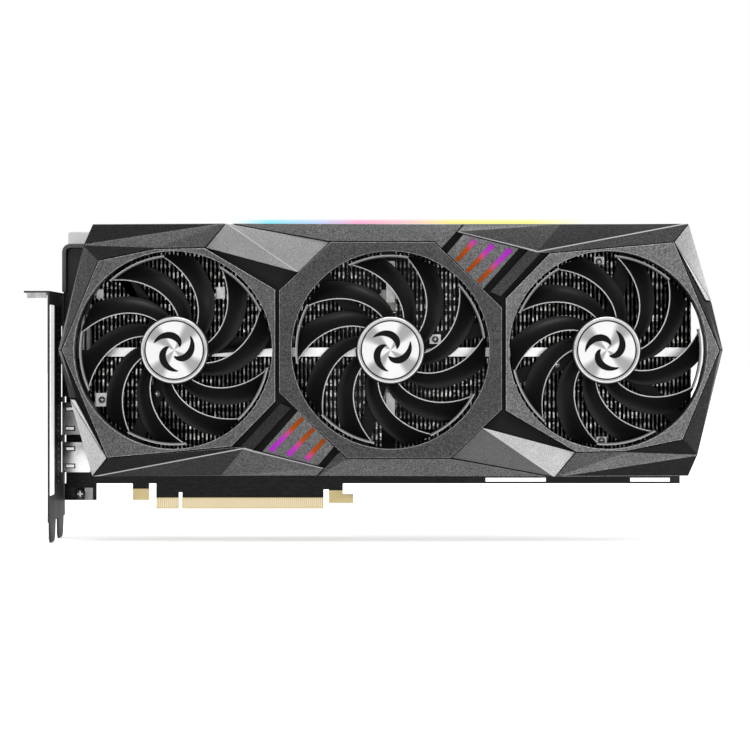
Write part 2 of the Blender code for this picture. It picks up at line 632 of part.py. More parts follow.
def cooling_core():
    front = PIPE_LEVEL + PIPE_RADIUS + GAP
    package_front = BOARD_FRONT - GAP - PACKAGE_HEIGHT
    block("cold_plate", (CHIP_X - PLATE_REACH, front, -PLATE_REACH),
          (CHIP_X + PLATE_REACH, package_front - GAP, PLATE_REACH), COPPER)
    half = PACKAGE_SIDE / 2
    block("gpu_package", (CHIP_X - half, package_front, -half),
          (CHIP_X + half, BOARD_FRONT - GAP, half), CHIP)
    fin_stack("fin_stack_left", -STACK_START, -STACK_SPLIT)
    fin_stack("fin_stack_right", STACK_SPLIT, STACK_END)
    low = -STRIP_DROP - STRIP_HEIGHT / 2
    block("fin_tie_strip", (-STACK_START, STRIP_FRONT, low), (STACK_END, STRIP_BACK, low + STRIP_HEIGHT),
          ALUMINIUM)
    for index in range(PIPE_COUNT):
        heat_pipe(index)


def mid_plate():
    """A stiffening plate over the board, open round the cold plate, its rim folded at the bracket end."""
    back = BOARD_FRONT - GAP - PACKAGE_HEIGHT / 2
    front = back - MID_PLATE_THICKNESS
    left = -BRACKET_FACE + BRACKET_THICKNESS + GAP
    right = BOARD_END - 2 * MM
    fillet = 4.0 * MM
    rim_foot = PLATE_HIGH_EDGE - RIM_LENGTH
    beside_ports = left + PORT_LENGTH + 2 * GAP
    top_port = max(height + length / 2 for height, length, depth in PORTS.values()) * MM
    above_ports = BOARD_EDGE + top_port + 2 * GAP
    below_sockets = SOCKET_TOP - SOCKET_HEIGHT - 2 * GAP
    points = [(beside_ports, PLATE_LOW_EDGE), (right, PLATE_LOW_EDGE), (right, below_sockets),
              (SOCKET_START - 2 * GAP, below_sockets), (SOCKET_START - 2 * GAP, PLATE_HIGH_EDGE)]
    corner_arc = []
    for step in range(5):
        turn = math.radians(90 + 90 * step / 4)
        corner_arc.append((left + fillet + fillet * math.cos(turn),
                           PLATE_HIGH_EDGE - fillet + fillet * math.sin(turn)))
    points += corner_arc + [(left, above_ports), (beside_ports, above_ports)]
    reach = PLATE_REACH + 2 * GAP
    window = [(CHIP_X - reach, -reach), (CHIP_X + reach, -reach),
              (CHIP_X + reach, reach), (CHIP_X - reach, reach)]
    plate = front_plate("mid_plate", from_axis(points), front, back, GRAPHITE, [from_axis(window)])
    rim_end = left + RIM_LENGTH
    rim = corner_arc + [(left, rim_foot)]
    inner = [(left + RIM_WIDTH, rim_foot)]
    for step in range(5):
        turn = math.radians(180 - 90 * step / 4)
        radius = fillet - RIM_WIDTH
        inner.append((left + fillet + radius * math.cos(turn),
                      PLATE_HIGH_EDGE - fillet + radius * math.sin(turn)))
    rim = [(rim_end, PLATE_HIGH_EDGE)] + rim + inner + [(rim_end, PLATE_HIGH_EDGE - RIM_WIDTH)]
    fold = front_plate("rim_guide", from_axis(rim), front - RIM_DEPTH, back - MID_PLATE_THICKNESS / 2,
                       GRAPHITE)
    combine(plate, fold, "UNION")


# ---------------------------------------------------------------- board, sockets, bracket, backplate
SHORT_TONGUE = 11.2 * MM
KEY_HEIGHT = 8.25 * MM
TAB_WIDTH = 8.1 * MM
TAB_DISTANCE = 3.7 * MM           # short tongue to the tab beside it
TAB_LIFT = 4.3 * MM               # foot of the tongues to the tab's foot
HOOK_DISTANCE = 2.7 * MM          # long tongue to the retention hook
HOOK_NECK = 7.0 * MM
HOOK_LENGTH = 12.3 * MM
HOOK_DROP = 5.4 * MM
HOOK_LIFT = 2.8 * MM              # foot of the tongues to the hook's foot
NOTCH_DEPTH = 3.0 * MM            # between the long tongue and the hook
SHOULDER_LENGTH = 64.0 * MM       # hook's neck to the step in the board's lower edge
LUG_WIDTH = 16.0 * MM
LUG_DROP = 8.4 * MM
SCREW_HEAD = 1.6 * MM


def circuit_board():
    """The board with its contact tongues, key gap, retention hook and bracket lug."""
    edge = BOARD_EDGE
    foot = edge - TONGUE_HEIGHT
    right = -AXIS_X + TONGUE_LENGTH / 2
    left = right - TONGUE_LENGTH
    short = left - KEY_GAP - SHORT_TONGUE
    tab = short - TAB_DISTANCE
    tab_foot = foot + TAB_LIFT
    hook = right + HOOK_DISTANCE
    neck = hook + HOOK_NECK
    barb = hook + HOOK_LENGTH
    notch = edge - NOTCH_DEPTH
    key = foot + KEY_HEIGHT
    toe = foot + HOOK_LIFT
    chamfer = 3.0 * MM
    shoulder = neck + SHOULDER_LENGTH
    lug = -BRACKET_FACE + BRACKET_THICKNESS + GAP
    board_left = lug + 0.8 * MM
    points = [(board_left, BOARD_TOP), (BOARD_END, BOARD_TOP), (BOARD_END, edge + chamfer),
              (shoulder, edge + chamfer), (shoulder - chamfer, edge), (neck, edge),
              (neck, edge - HOOK_DROP), (barb, edge - HOOK_DROP), (barb, toe), (hook, toe),
              (hook, notch), (right, notch), (right, foot), (left, foot), (left, key),
              (left - KEY_GAP, key), (left - KEY_GAP, foot), (short, foot), (short, edge), (tab, edge),
              (tab, tab_foot), (tab - TAB_WIDTH, tab_foot), (tab - TAB_WIDTH, edge),
              (lug + LUG_WIDTH, edge), (lug + LUG_WIDTH, edge - LUG_DROP), (lug, edge - LUG_DROP),
              (lug, edge), (board_left, edge)]
    hole_radius = 1.6 * MM
    screw = (lug + LUG_WIDTH / 2 + 0.2 * MM, edge - 5.2 * MM)
    screw_hole = circle(*screw, hole_radius, 12)
    front_plate("circuit_board", from_axis(points), BOARD_FRONT, BOARD_BACK, BOARD,
                [from_axis(screw_hole)])
    seat = BOARD_FRONT - GAP
    head_radius = 2.5 * MM
    profile = [(0, seat - SCREW_HEAD), (head_radius - 0.4 * MM, seat - SCREW_HEAD),
               (head_radius, seat - SCREW_HEAD + 0.6 * MM), (head_radius, seat), (hole_radius - GAP, seat),
               (hole_radius - GAP, BOARD_BACK + MM), (0, BOARD_BACK + MM)]
    turned("bracket_screw", profile, AXIS_X + screw[0], AXIS_Z + screw[1], STEEL, 20)


POWER_SOCKETS = 3
SOCKET_WIDTH = 18.6 * MM
SOCKET_START = 30.0 * MM
SOCKET_TOP = BOARD_TOP + 5.5 * MM
SOCKET_HEIGHT = 12.0 * MM
PIN_PITCH = 4.2 * MM
PIN_HOLE = 3.2 * MM
POCKET_DEPTH = 8.0 * MM


def power_sockets():
    """Eight-way sockets on the board's top edge, with square pockets open at the top."""
    back = BOARD_FRONT - GAP
    front = back - 2 * PIN_PITCH - 2 * MM
    for number in range(POWER_SOCKETS):
        left = SOCKET_START + number * (SOCKET_WIDTH + 2 * GAP)
        outline = [(left, front), (left + SOCKET_WIDTH, front), (left + SOCKET_WIDTH, back), (left, back)]
        name = f"power_socket_{number + 1}"
        level = AXIS_Z + SOCKET_TOP

        def at_level(loop, z):
            return [(AXIS_X + u, y, z) for u, y in loop]
        body = extruded(name, at_level(outline, level), (0, 0, -SOCKET_HEIGHT), SOCKET)
        for column in range(4):
            for row in range(2):
                u = left + SOCKET_WIDTH / 2 + (column - 1.5) * PIN_PITCH
                y = (front + back) / 2 + (row - 0.5) * PIN_PITCH
                half = PIN_HOLE / 2
                hole = [(u - half, y - half), (u + half, y - half),
                        (u + half, y + half), (u - half, y + half)]
                tool = extruded(f"pocket_guide_{number}_{column}_{row}", at_level(hole, level + MM),
                                (0, 0, -POCKET_DEPTH - MM), SOCKET)
                combine(body, tool, "DIFFERENCE")


# Each socket's height above the board's lower edge, length and depth, in millimetres.
PORTS = {"hdmi_socket": (13.5, 15.0, 5.6), "display_socket_1": (32.8, 16.1, 5.9),
         "display_socket_2": (51.8, 16.1, 5.9), "display_socket_3": (70.8, 16.1, 5.9)}
PORT_LENGTH = 14.0 * MM
PORT_WALL = 0.6 * MM


def ports():
    """Metal socket shells behind the bracket, open to the outside, each round a contact tongue."""
    face = -BRACKET_FACE + BRACKET_THICKNESS + GAP
    back = BOARD_FRONT - GAP
    for name, (height, length, depth) in PORTS.items():
        low = BOARD_EDGE + (height - length / 2) * MM
        high = low + length * MM
        front = back - depth * MM
        middle = (front + back) / 2
        profile = [(front, low), (back, low), (back, high), (front, high)]
        mouth = [(front + PORT_WALL, low + PORT_WALL), (back - PORT_WALL, low + PORT_WALL),
                 (back - PORT_WALL, high - PORT_WALL), (front + PORT_WALL, high - PORT_WALL)]
        shell = extruded(name, [(AXIS_X + face, y, AXIS_Z + z) for y, z in profile],
                         (PORT_LENGTH, 0, 0), STEEL)
        hollow = extruded(f"{name}_hollow_guide", [(AXIS_X + face - MM, y, AXIS_Z + z) for y, z in mouth],
                          (PORT_LENGTH, 0, 0), STEEL)
        combine(shell, hollow, "DIFFERENCE")
        tongue = block(f"{name}_tongue_guide", (face + MM, middle - 0.5 * MM, low + 3 * MM),
                       (face + PORT_LENGTH - PORT_WALL, middle + 0.5 * MM, high - 3 * MM), SOCKET)
        combine(shell, tongue, "UNION")


BRACKET_TOP = BOARD_EDGE + 95.5 * MM
TAB_REACH = 11.4 * MM
BRACKET_REAR = 2.6 * MM           # how far the bracket reaches behind the board's middle plane
BRACKET_FRONT = BRACKET_REAR - SLOT_PITCH - 19.7 * MM
TAB_SHOULDER = BOARD_EDGE - 16 * MM
VENT_REAR = -9.4 * MM
VENT_LENGTH = 10.6 * MM
VENT_HEIGHT = 1.6 * MM
VENT_PITCH = 3.1 * MM
VENT_COUNT = 28


def slot_bracket():
    """A two-slot bracket: tall plate with socket windows and vents, bent top tab, tapered bottom tabs."""
    outer = AXIS_X - BRACKET_FACE
    points = [(BRACKET_FRONT, BRACKET_TOP), (BRACKET_REAR, BRACKET_TOP), (BRACKET_REAR, TAB_SHOULDER)]
    for rear in (BRACKET_REAR, BRACKET_REAR - SLOT_PITCH):
        tip = [(-3.4, 0), (-5.0, -8.0), (-7.0, -10.2), (-15.0, -10.2), (-17.0, -8.0), (-17.6, 0)]
        points += [(rear + y * MM, TAB_SHOULDER + z * MM) for y, z in tip]
    points.append((BRACKET_FRONT, TAB_SHOULDER))

    def on_face(loop):
        return [(outer, y, AXIS_Z + z) for y, z in loop]

    def rectangle(y, z, depth, height):
        return [(y, z), (y + depth, z), (y + depth, z + height), (y, z + height)]
    grow = 0.2 * MM
    windows = []
    for height, length, depth in PORTS.values():
        low = BOARD_EDGE + (height - length / 2) * MM - grow
        front = BOARD_FRONT - GAP - depth * MM - grow
        windows.append(rectangle(front, low, depth * MM + 2 * grow, length * MM + 2 * grow))
    for row in range(VENT_COUNT):
        low = BOARD_EDGE + 2 * MM + row * VENT_PITCH
        windows.append(rectangle(VENT_REAR - VENT_LENGTH, low, VENT_LENGTH, VENT_HEIGHT))
    plate = extruded("slot_bracket", on_face(points), (BRACKET_THICKNESS, 0, 0), STEEL,
                     [on_face(window) for window in windows])
    notch = 2.2 * MM
    end = -BRACKET_FACE - TAB_REACH
    fold = -BRACKET_FACE + BRACKET_THICKNESS / 2
    deep = end + 5 * MM
    tab = [(end, BRACKET_FRONT), (fold, BRACKET_FRONT), (fold, BRACKET_REAR), (end, BRACKET_REAR)]
    for middle in (BRACKET_REAR - 9 * MM, BRACKET_REAR - 9 * MM - SLOT_PITCH):
        tab += [(end, middle + notch), (deep, middle + notch), (deep + notch, middle),
                (deep, middle - notch), (end, middle - notch)]
    level = AXIS_Z + BRACKET_TOP - BRACKET_THICKNESS
    bend = extruded("bracket_tab_guide", [(AXIS_X + u, y, level) for u, y in tab],
                    (0, 0, BRACKET_THICKNESS * 0.999), STEEL)
    combine(plate, bend, "UNION")


BACKPLATE_TOP = BOARD_TOP + 6 * MM
BACKPLATE_FOOT = BOARD_EDGE - 0.3 * MM
BACKPLATE_END = STACK_END
EAR_WIDTH = 20.0 * MM
EAR_HEIGHT = 1.6 * MM
RAIL_START = -14.0 * MM           # lower rail, from the centre fan axis
RAIL_STEP = 4.0 * MM
RAIL_SLOTS = ((48.0 * MM, 78.4 * MM), (121.0 * MM, 141.0 * MM))


def backplate():
    """A stiff rear plate with a corner ear, vents behind the tail fan and slots in its lower rail."""
    front = BOARD_BACK + BACKPLATE_STANDOFF
    left = -BRACKET_FACE + 2.3 * MM
    ear = BACKPLATE_TOP + EAR_HEIGHT
    points = [(left, ear - 1.2 * MM), (left + 0.4 * MM, ear - 0.4 * MM), (left + 1.2 * MM, ear),
              (left + EAR_WIDTH, ear), (left + EAR_WIDTH + RAIL_STEP, BACKPLATE_TOP),
              (BACKPLATE_END, BACKPLATE_TOP), (BACKPLATE_END, BACKPLATE_FOOT), (RAIL_START, BACKPLATE_FOOT),
              (RAIL_START - RAIL_STEP, BACKPLATE_FOOT + RAIL_STEP), (left, BACKPLATE_FOOT + RAIL_STEP)]
    slots = []
    for start, end in RAIL_SLOTS:
        low = BACKPLATE_FOOT + 0.9 * MM
        slots.append([(start, low), (end, low), (end, low + 1.9 * MM), (start, low + 1.9 * MM)])
    for column in range(2):
        for row in range(8):
            u = BOARD_END + (5 + 25 * column) * MM
            w = BACKPLATE_FOOT + (19.3 + 12.5 * row) * MM
            slots.append([(u, w), (u + 20 * MM, w), (u + 22 * MM, w + 5 * MM), (u + 2 * MM, w + 5 * MM)])
    front_plate("backplate", from_axis(points), front, front + BACKPLATE_THICKNESS, GRAPHITE,
                [from_axis(slot) for slot in slots])


bezels()
front_trims()
light_panels()
shroud()
light_bar()
fans()
cooling_core()
mid_plate()
circuit_board()
power_sockets()
ports()
slot_bracket()
backplate()
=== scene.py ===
"""The looks of a graphics card with a three-fan cooler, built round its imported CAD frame."""
import json
import math

import bmesh
import bpy
from mathutils import Matrix, Vector

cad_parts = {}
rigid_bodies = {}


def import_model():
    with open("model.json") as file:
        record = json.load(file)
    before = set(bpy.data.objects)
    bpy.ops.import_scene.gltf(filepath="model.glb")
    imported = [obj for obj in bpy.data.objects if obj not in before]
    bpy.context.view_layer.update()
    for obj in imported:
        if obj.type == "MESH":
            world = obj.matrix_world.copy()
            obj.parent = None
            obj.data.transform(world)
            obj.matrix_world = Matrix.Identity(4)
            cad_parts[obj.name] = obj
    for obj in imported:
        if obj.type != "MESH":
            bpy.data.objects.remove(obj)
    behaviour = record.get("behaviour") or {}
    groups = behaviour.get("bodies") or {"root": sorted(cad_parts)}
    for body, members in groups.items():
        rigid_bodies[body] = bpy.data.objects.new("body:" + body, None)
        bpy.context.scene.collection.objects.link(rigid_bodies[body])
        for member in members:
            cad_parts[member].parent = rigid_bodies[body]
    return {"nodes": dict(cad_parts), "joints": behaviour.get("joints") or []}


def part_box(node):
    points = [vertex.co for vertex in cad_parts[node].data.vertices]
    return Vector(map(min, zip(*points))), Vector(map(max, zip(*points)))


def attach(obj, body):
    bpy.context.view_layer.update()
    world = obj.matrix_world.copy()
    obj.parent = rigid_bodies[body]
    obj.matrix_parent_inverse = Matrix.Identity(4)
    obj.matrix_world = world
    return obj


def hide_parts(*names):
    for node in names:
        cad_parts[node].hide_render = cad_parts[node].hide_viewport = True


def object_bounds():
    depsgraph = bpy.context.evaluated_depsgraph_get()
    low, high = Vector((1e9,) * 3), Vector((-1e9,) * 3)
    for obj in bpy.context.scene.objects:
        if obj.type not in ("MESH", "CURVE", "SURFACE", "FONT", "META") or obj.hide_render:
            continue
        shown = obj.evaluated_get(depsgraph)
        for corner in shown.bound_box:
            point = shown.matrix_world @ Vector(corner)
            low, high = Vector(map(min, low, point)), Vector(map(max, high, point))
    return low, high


for spare in list(bpy.data.objects):
    bpy.data.objects.remove(spare)
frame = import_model()
cad_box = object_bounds()


# ------------------------------------------------------------------------------------------------
# Circuit board. Black solder mask over a glass-fibre laminate, with bare gold at the contact edge.
# The bracket's lug, the key gap and the retention hook are routed into its lower edge.
# ------------------------------------------------------------------------------------------------
MM = 0.001


class Wire:
    """A node's socket that takes part in plain arithmetic."""

    def __init__(self, tree, socket):
        self.tree = tree
        self.socket = socket

    def with_other(self, operation, first, second):
        return self.tree.node("ShaderNodeMath", {"operation": operation}, {0: first, 1: second})

    def __add__(self, other):
        return self.with_other("ADD", self, other)

    def __sub__(self, other):
        return self.with_other("SUBTRACT", self, other)

    def __rsub__(self, other):
        return self.with_other("SUBTRACT", other, self)

    def __mul__(self, other):
        return self.with_other("MULTIPLY", self, other)

    def __truediv__(self, other):
        return self.with_other("DIVIDE", self, other)

    def __pow__(self, other):
        return self.with_other("POWER", self, other)

    def __gt__(self, other):
        return self.with_other("GREATER_THAN", self, other)

    def __lt__(self, other):
        return self.with_other("LESS_THAN", self, other)

    __radd__ = __add__
    __rmul__ = __mul__


class NodeTree:
    """A shader or geometry node tree that is written down node by node."""

    def __init__(self, tree):
        self.tree = tree

    def node(self, kind, settings=None, inputs=None, output=0):
        made = self.tree.nodes.new(kind)
        for label, value in (settings or {}).items():
            if label == "stops":
                ramp = made.color_ramp.elements
                while len(ramp) < len(value):
                    ramp.new(1.0)
                for element, (place, colour) in zip(ramp, value):
                    element.position = place
                    element.color = (*colour, 1.0)
            else:
                setattr(made, label, value)
        for label, value in (inputs or {}).items():
            if isinstance(value, Wire):
                self.tree.links.new(value.socket, made.inputs[label])
            else:
                made.inputs[label].default_value = value
        return Wire(self, made.outputs[output])

    def axis(self, place, letter):
        return self.node("ShaderNodeSeparateXYZ", None, {0: place}, "XYZ".index(letter))


class Finish(NodeTree):
    """One material: constants go straight on the shader, patterns are fed to its sockets."""

    def __init__(self, name, colour, roughness, **constants):
        self.material = bpy.data.materials.new(name)
        self.material.use_nodes = True
        super().__init__(self.material.node_tree)
        self.shader = self.tree.nodes["Principled BSDF"]
        self.shader.inputs["Base Color"].default_value = (*colour, 1.0)
        self.shader.inputs["Roughness"].default_value = roughness
        for label, value in constants.items():
            self.shader.inputs[label.replace("_", " ")].default_value = value
        self.place = self.node("ShaderNodeTexCoord", output="Object")

    def feed(self, label, wire):
        self.tree.links.new(wire.socket, self.shader.inputs[label])

    def grain(self, scale, detail=2.0, stretch=(1, 1, 1), roughness=0.5):
        where = self.node("ShaderNodeMapping", None, {"Vector": self.place, "Scale": stretch})
        return self.node("ShaderNodeTexNoise", None,
                         {"Vector": where, "Scale": scale, "Detail": detail, "Roughness": roughness})

    def between(self, factor, low, high):
        return self.node("ShaderNodeMapRange", {"interpolation_type": "SMOOTHSTEP"},
                         {0: factor, 1: low, 2: high})

    def blend(self, factor, first, second):
        first, second = (value if isinstance(value, Wire) else (*value, 1.0) for value in (first, second))
        return self.node("ShaderNodeMix", {"data_type": "RGBA"}, {0: factor, 6: first, 7: second}, 2)

    def emboss(self, height, depth, strength=1.0):
        self.feed("Normal", self.node("ShaderNodeBump", None,
                                      {"Height": height, "Distance": depth, "Strength": strength}))


def frame_axis(body):
    """A point on the body's hinge axis."""
    return Vector(next(joint["pos_m"] for joint in frame["joints"] if joint["child"] == body))


centre_fan = frame_axis("fan_centre")


def share_body(piece, slot, body, *nodes):
    """The piece moves with the body and stands for the CAD nodes, which it hides. The slot is not used."""
    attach(piece, body)
    if nodes:
        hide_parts(*nodes)
    return piece


def new_piece(name, mesh, finish):
    piece = bpy.data.objects.new(name, mesh)
    bpy.context.scene.collection.objects.link(piece)
    mesh.materials.clear()
    mesh.materials.append(finish.material)
    return piece


def mesh_of(bm, name, smooth_below=35):
    bmesh.ops.recalc_face_normals(bm, faces=bm.faces)
    if bm.calc_volume(signed=True) < 0:
        bmesh.ops.reverse_faces(bm, faces=bm.faces)
    mesh = bpy.data.meshes.new(name)
    bm.to_mesh(mesh)
    bm.free()
    mesh.shade_smooth()
    mesh.set_sharp_from_angle(angle=math.radians(smooth_below))
    return mesh


def nearest_shade(shades, spot):
    """The shade of the entry (across, up, shade) that lies nearest to the spot."""
    return min(shades, key=lambda entry: math.hypot(entry[0] - spot.x, entry[1] - spot.z))[2]


def on_ridge(ridges, spot):
    """Whether the spot lies along one of the ridges, each a pair of (across, up) points."""
    ridge_reach = 0.9
    for start, end in ridges:
        travel = Vector(end) - Vector(start)
        offset = Vector((spot.x, spot.z)) - Vector(start)
        share = min(max(offset.dot(travel) / travel.length_squared, 0), 1)
        if (offset - travel * share).length < ridge_reach:
            return True
    return False


def softened(name, node, finish, slot, edge=0.3 * MM, steps=2, sharper_than=24, shades=(), rim=1.0,
             ridges=None):
    """A CAD node's shape with its edges rounded, as a moulded, cast or tumbled piece has them.

    Shades and ridges are in millimetres from the centre fan. Each flat facet at the front takes the nearest
    shade, which is painted light or shade. The rounded edges take the rim's shade, a painted highlight or
    shade; where ridges are given, only the edges that lie along one of them do, and the other forward-facing
    rounded faces take the nearest shade brightened a little as a painted highlight.
    """
    bm = bmesh.new()
    bm.from_mesh(frame["nodes"][node].data)
    bmesh.ops.remove_doubles(bm, verts=bm.verts, dist=0.01 * MM)
    bmesh.ops.dissolve_limit(bm, angle_limit=math.radians(0.6), verts=bm.verts, edges=bm.edges)
    # The shade attribute is painted light and shade for each facet; the speckled paints multiply their
    # colour by it.
    layer = bm.faces.layers.float.new("shade")
    for face in bm.faces:
        face[layer] = 1.0
        if shades and face.normal.y < -0.9:
            face[layer] = nearest_shade(shades, (face.calc_center_median() - centre_fan) / MM)
    hard = [line for line in bm.edges
            if len(line.link_faces) == 2 and line.calc_face_angle(0) > math.radians(sharper_than)]
    rounded = bmesh.ops.bevel(bm, geom=hard, offset=edge, segments=steps, profile=0.6, affect="EDGES",
                              clamp_overlap=True)
    # Rounded edges take the rim's shade as a painted highlight or shade, or off the ridges the nearest
    # facet's shade brightened a little as a painted highlight.
    for face in rounded["faces"]:
        middle = (face.calc_center_median() - centre_fan) / MM
        if ridges is None or on_ridge(ridges, middle):
            face[layer] = rim if abs(face.normal.y) < 0.97 else face[layer]
        elif face.normal.y < -0.2:
            face[layer] = nearest_shade(shades, middle) * 1.15
    bmesh.ops.triangulate(bm, faces=[face for face in bm.faces if len(face.verts) > 4])
    return share_body(new_piece(name, mesh_of(bm, name, 40), finish), slot, "card", node)


def painted(node, finish):
    """The CAD node keeps its shape and takes this finish."""
    target = frame["nodes"][node]
    target.data.materials.clear()
    target.data.materials.append(finish.material)


solder_mask = Finish("black_solder_mask", (0.012, 0.013, 0.013), 0.42, Specular_IOR_Level=0.15)
traces = solder_mask.between(solder_mask.grain(260, 0.0, (1, 1, 6)), 0.52, 0.54)
mask_colour = solder_mask.blend(traces, (0.004, 0.0042, 0.0042), (0.009, 0.0095, 0.0095))
along = solder_mask.axis(solder_mask.place, "X")
height = solder_mask.axis(solder_mask.place, "Z")
bare_areas = {"tab": (-64 * MM, -52 * MM, -1 * MM, 10 * MM),
              "tongue": (-52 * MM, 36.5 * MM, -1 * MM, 5.6 * MM),
              "hook": (37 * MM, 60 * MM, 2 * MM, 9.2 * MM)}
bare = 0.0
for left, right, lower, upper in bare_areas.values():
    bare = bare + (along > left) * (along < right) * (height > lower) * (height < upper)
bare_gold = (0.74, 0.6, 0.31)
solder_mask.feed("Base Color", solder_mask.blend(bare, mask_colour, bare_gold))
solder_mask.emboss(traces, 0.03 * MM, 0.5)
softened("board", "circuit_board", solder_mask, "board_laminate", edge=0.15 * MM, steps=1)


# ------------------------------------------------------------------------------------------------
# Contact fingers. Rows of hard gold pads on both faces of the contact edge, one millimetre apart.
# They are plated on the board, so each is a thin slab that stands just proud of it.
# ------------------------------------------------------------------------------------------------
class Pattern(NodeTree):
    """A Geometry Nodes tree with named sizes, which is run once and kept as a plain mesh."""

    def __init__(self, name, **sizes):
        super().__init__(bpy.data.node_groups.new(name, "GeometryNodeTree"))
        self.name = name
        self.sizes = sizes
        kinds = {int: "NodeSocketInt", float: "NodeSocketFloat", tuple: "NodeSocketVector"}
        face = self.tree.interface
        face.new_socket(name="Geometry", in_out="OUTPUT", socket_type="NodeSocketGeometry")
        self.keys = {}
        for label, value in sizes.items():
            entry = face.new_socket(name=label, in_out="INPUT", socket_type=kinds[type(value)])
            self.keys[label] = entry.identifier
        self.entry = self.tree.nodes.new("NodeGroupInput")

    def size(self, label):
        return Wire(self, self.entry.outputs[label])

    def vector(self, x=0.0, y=0.0, z=0.0):
        return self.node("ShaderNodeCombineXYZ", None, {"X": x, "Y": y, "Z": z})

    def moved(self, shapes, travel):
        return self.node("GeometryNodeTransform", None, {"Geometry": shapes, "Translation": travel})

    def joined(self, *shapes):
        join = self.tree.nodes.new("GeometryNodeJoinGeometry")
        for shape in reversed(shapes):
            self.tree.links.new(shape.socket, join.inputs[0])
        return Wire(self, join.outputs[0])

    def on_points(self, points, shape):
        return self.node("GeometryNodeInstanceOnPoints", None, {"Points": points, "Instance": shape})

    def made(self, shapes, finish, smooth_below=35):
        real = self.node("GeometryNodeRealizeInstances", None, {0: shapes})
        dressed = self.node("GeometryNodeSetMaterial", None,
                            {"Geometry": real, "Material": finish.material})
        exit_node = self.tree.nodes.new("NodeGroupOutput")
        self.tree.links.new(dressed.socket, exit_node.inputs[0])
        carrier = bpy.data.objects.new(self.name, bpy.data.meshes.new(self.name))
        bpy.context.scene.collection.objects.link(carrier)
        step = carrier.modifiers.new(self.name, "NODES")
        step.node_group = self.tree
        for label, value in self.sizes.items():
            step[self.keys[label]] = value
        graph = bpy.context.evaluated_depsgraph_get()
        mesh = bpy.data.meshes.new_from_object(carrier.evaluated_get(graph))
        bpy.data.objects.remove(carrier)
        mesh.shade_smooth()
        mesh.set_sharp_from_angle(angle=math.radians(smooth_below))
        return new_piece(self.name, mesh, finish)


contact_gold = Finish("hard_gold", (0.86, 0.74, 0.5), 0.32, Metallic=0.45)
contact_gold.feed("Roughness", contact_gold.grain(900, 2.0) * 0.2 + 0.22)
board_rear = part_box("circuit_board")[1].y
tongue_end = 35.45 * MM
end_margin = 0.95 * MM
key_gap = 1.9 * MM
gap_margin = 0.6 * MM
finger_rows = (("long", tongue_end - end_margin, 71), ("short", -tongue_end - key_gap - gap_margin, 11))
for place, row_end, count in finger_rows:
    fingers = Pattern(f"contacts_{place}", count=count, pitch=1.0 * MM, width=0.7 * MM, height=4.6 * MM,
                      lift=0.5 * MM, stands_out=0.06 * MM, end=row_end, half_board=board_rear)
    pad_size = fingers.vector(fingers.size("width"), fingers.size("stands_out"), fingers.size("height"))
    slab = fingers.node("GeometryNodeMeshCube", None, {"Size": pad_size})
    step = fingers.vector(fingers.size("pitch") * -1.0)
    start = fingers.vector(fingers.size("end"), 0.0, fingers.size("height") / 2 + fingers.size("lift"))
    row = fingers.node("GeometryNodeMeshLine", None,
                       {"Count": fingers.size("count"), "Offset": step, "Start Location": start})
    face_pads = fingers.on_points(row, slab)
    front_pads = fingers.moved(face_pads, fingers.vector(0.0, fingers.size("half_board") * -1.0))
    rear_pads = fingers.moved(face_pads, fingers.vector(0.0, fingers.size("half_board")))
    contacts = fingers.made(fingers.joined(front_pads, rear_pads), contact_gold)
    share_body(contacts, "board_laminate", "card")


# ------------------------------------------------------------------------------------------------
# Processor package and cold plate, with nickel-plated heat pipes lying behind the fins.
# The pipes are drawn copper tube, bent and soldered to the plate.
# ------------------------------------------------------------------------------------------------
green_package = Finish("package_substrate", (0.02, 0.05, 0.03), 0.35)
weave = green_package.grain(400)
green_package.feed("Base Color", green_package.blend(weave, (0.015, 0.04, 0.022), (0.03, 0.07, 0.04)))
painted("gpu_package", green_package)

nickel = Finish("bright_nickel_plate", (0.78, 0.76, 0.72), 0.2, Metallic=1.0)
nickel.feed("Roughness", nickel.grain(120, 3.0, (1, 8, 8)) * 0.25 + 0.1)
painted("cold_plate", nickel)
for number in range(1, 7):
    pipe = frame["nodes"][f"heat_pipe_{number}"]
    bm = bmesh.new()
    bm.from_mesh(pipe.data)
    bmesh.ops.remove_doubles(bm, verts=bm.verts, dist=0.01 * MM)
    round_pipe = new_piece(f"pipe_{number}", mesh_of(bm, f"pipe_{number}", 60), nickel)
    share_body(round_pipe, "plated_copper", "card", f"heat_pipe_{number}")


# ------------------------------------------------------------------------------------------------
# Mid plate: a pressed steel sheet that stiffens the board, brushed and blackened. Its rim is folded
# forward at the bracket end, where a speckled finish is left on the fold.
# ------------------------------------------------------------------------------------------------
def brushed_plate(name, dark, light):
    """A plate with lengthwise brush strokes; gives the finish and its stroke colour."""
    plate = Finish(name, dark, 0.42, Metallic=0.6)
    strokes = plate.grain(60, 4.0, (1, 40, 40))
    plate.feed("Roughness", strokes * 0.2 + 0.3)
    plate.emboss(strokes, 0.02 * MM, 0.4)
    return plate, plate.blend(strokes, dark, light)


mid_finish, mid_strokes = brushed_plate("dark_brushed_plate", (0.008, 0.008, 0.008), (0.022, 0.022, 0.022))
rim_depth = 2.0 * MM
rim_speckle = mid_finish.blend(mid_finish.grain(1500), (0.02, 0.02, 0.02), (0.09, 0.09, 0.09))
on_rim = mid_finish.axis(mid_finish.place, "Y") < (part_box("mid_plate")[0].y + rim_depth)
mid_finish.feed("Base Color", mid_finish.blend(on_rim, mid_strokes, rim_speckle))
softened("stiffening_plate", "mid_plate", mid_finish, "graphite_plate", edge=0.4 * MM, steps=3)


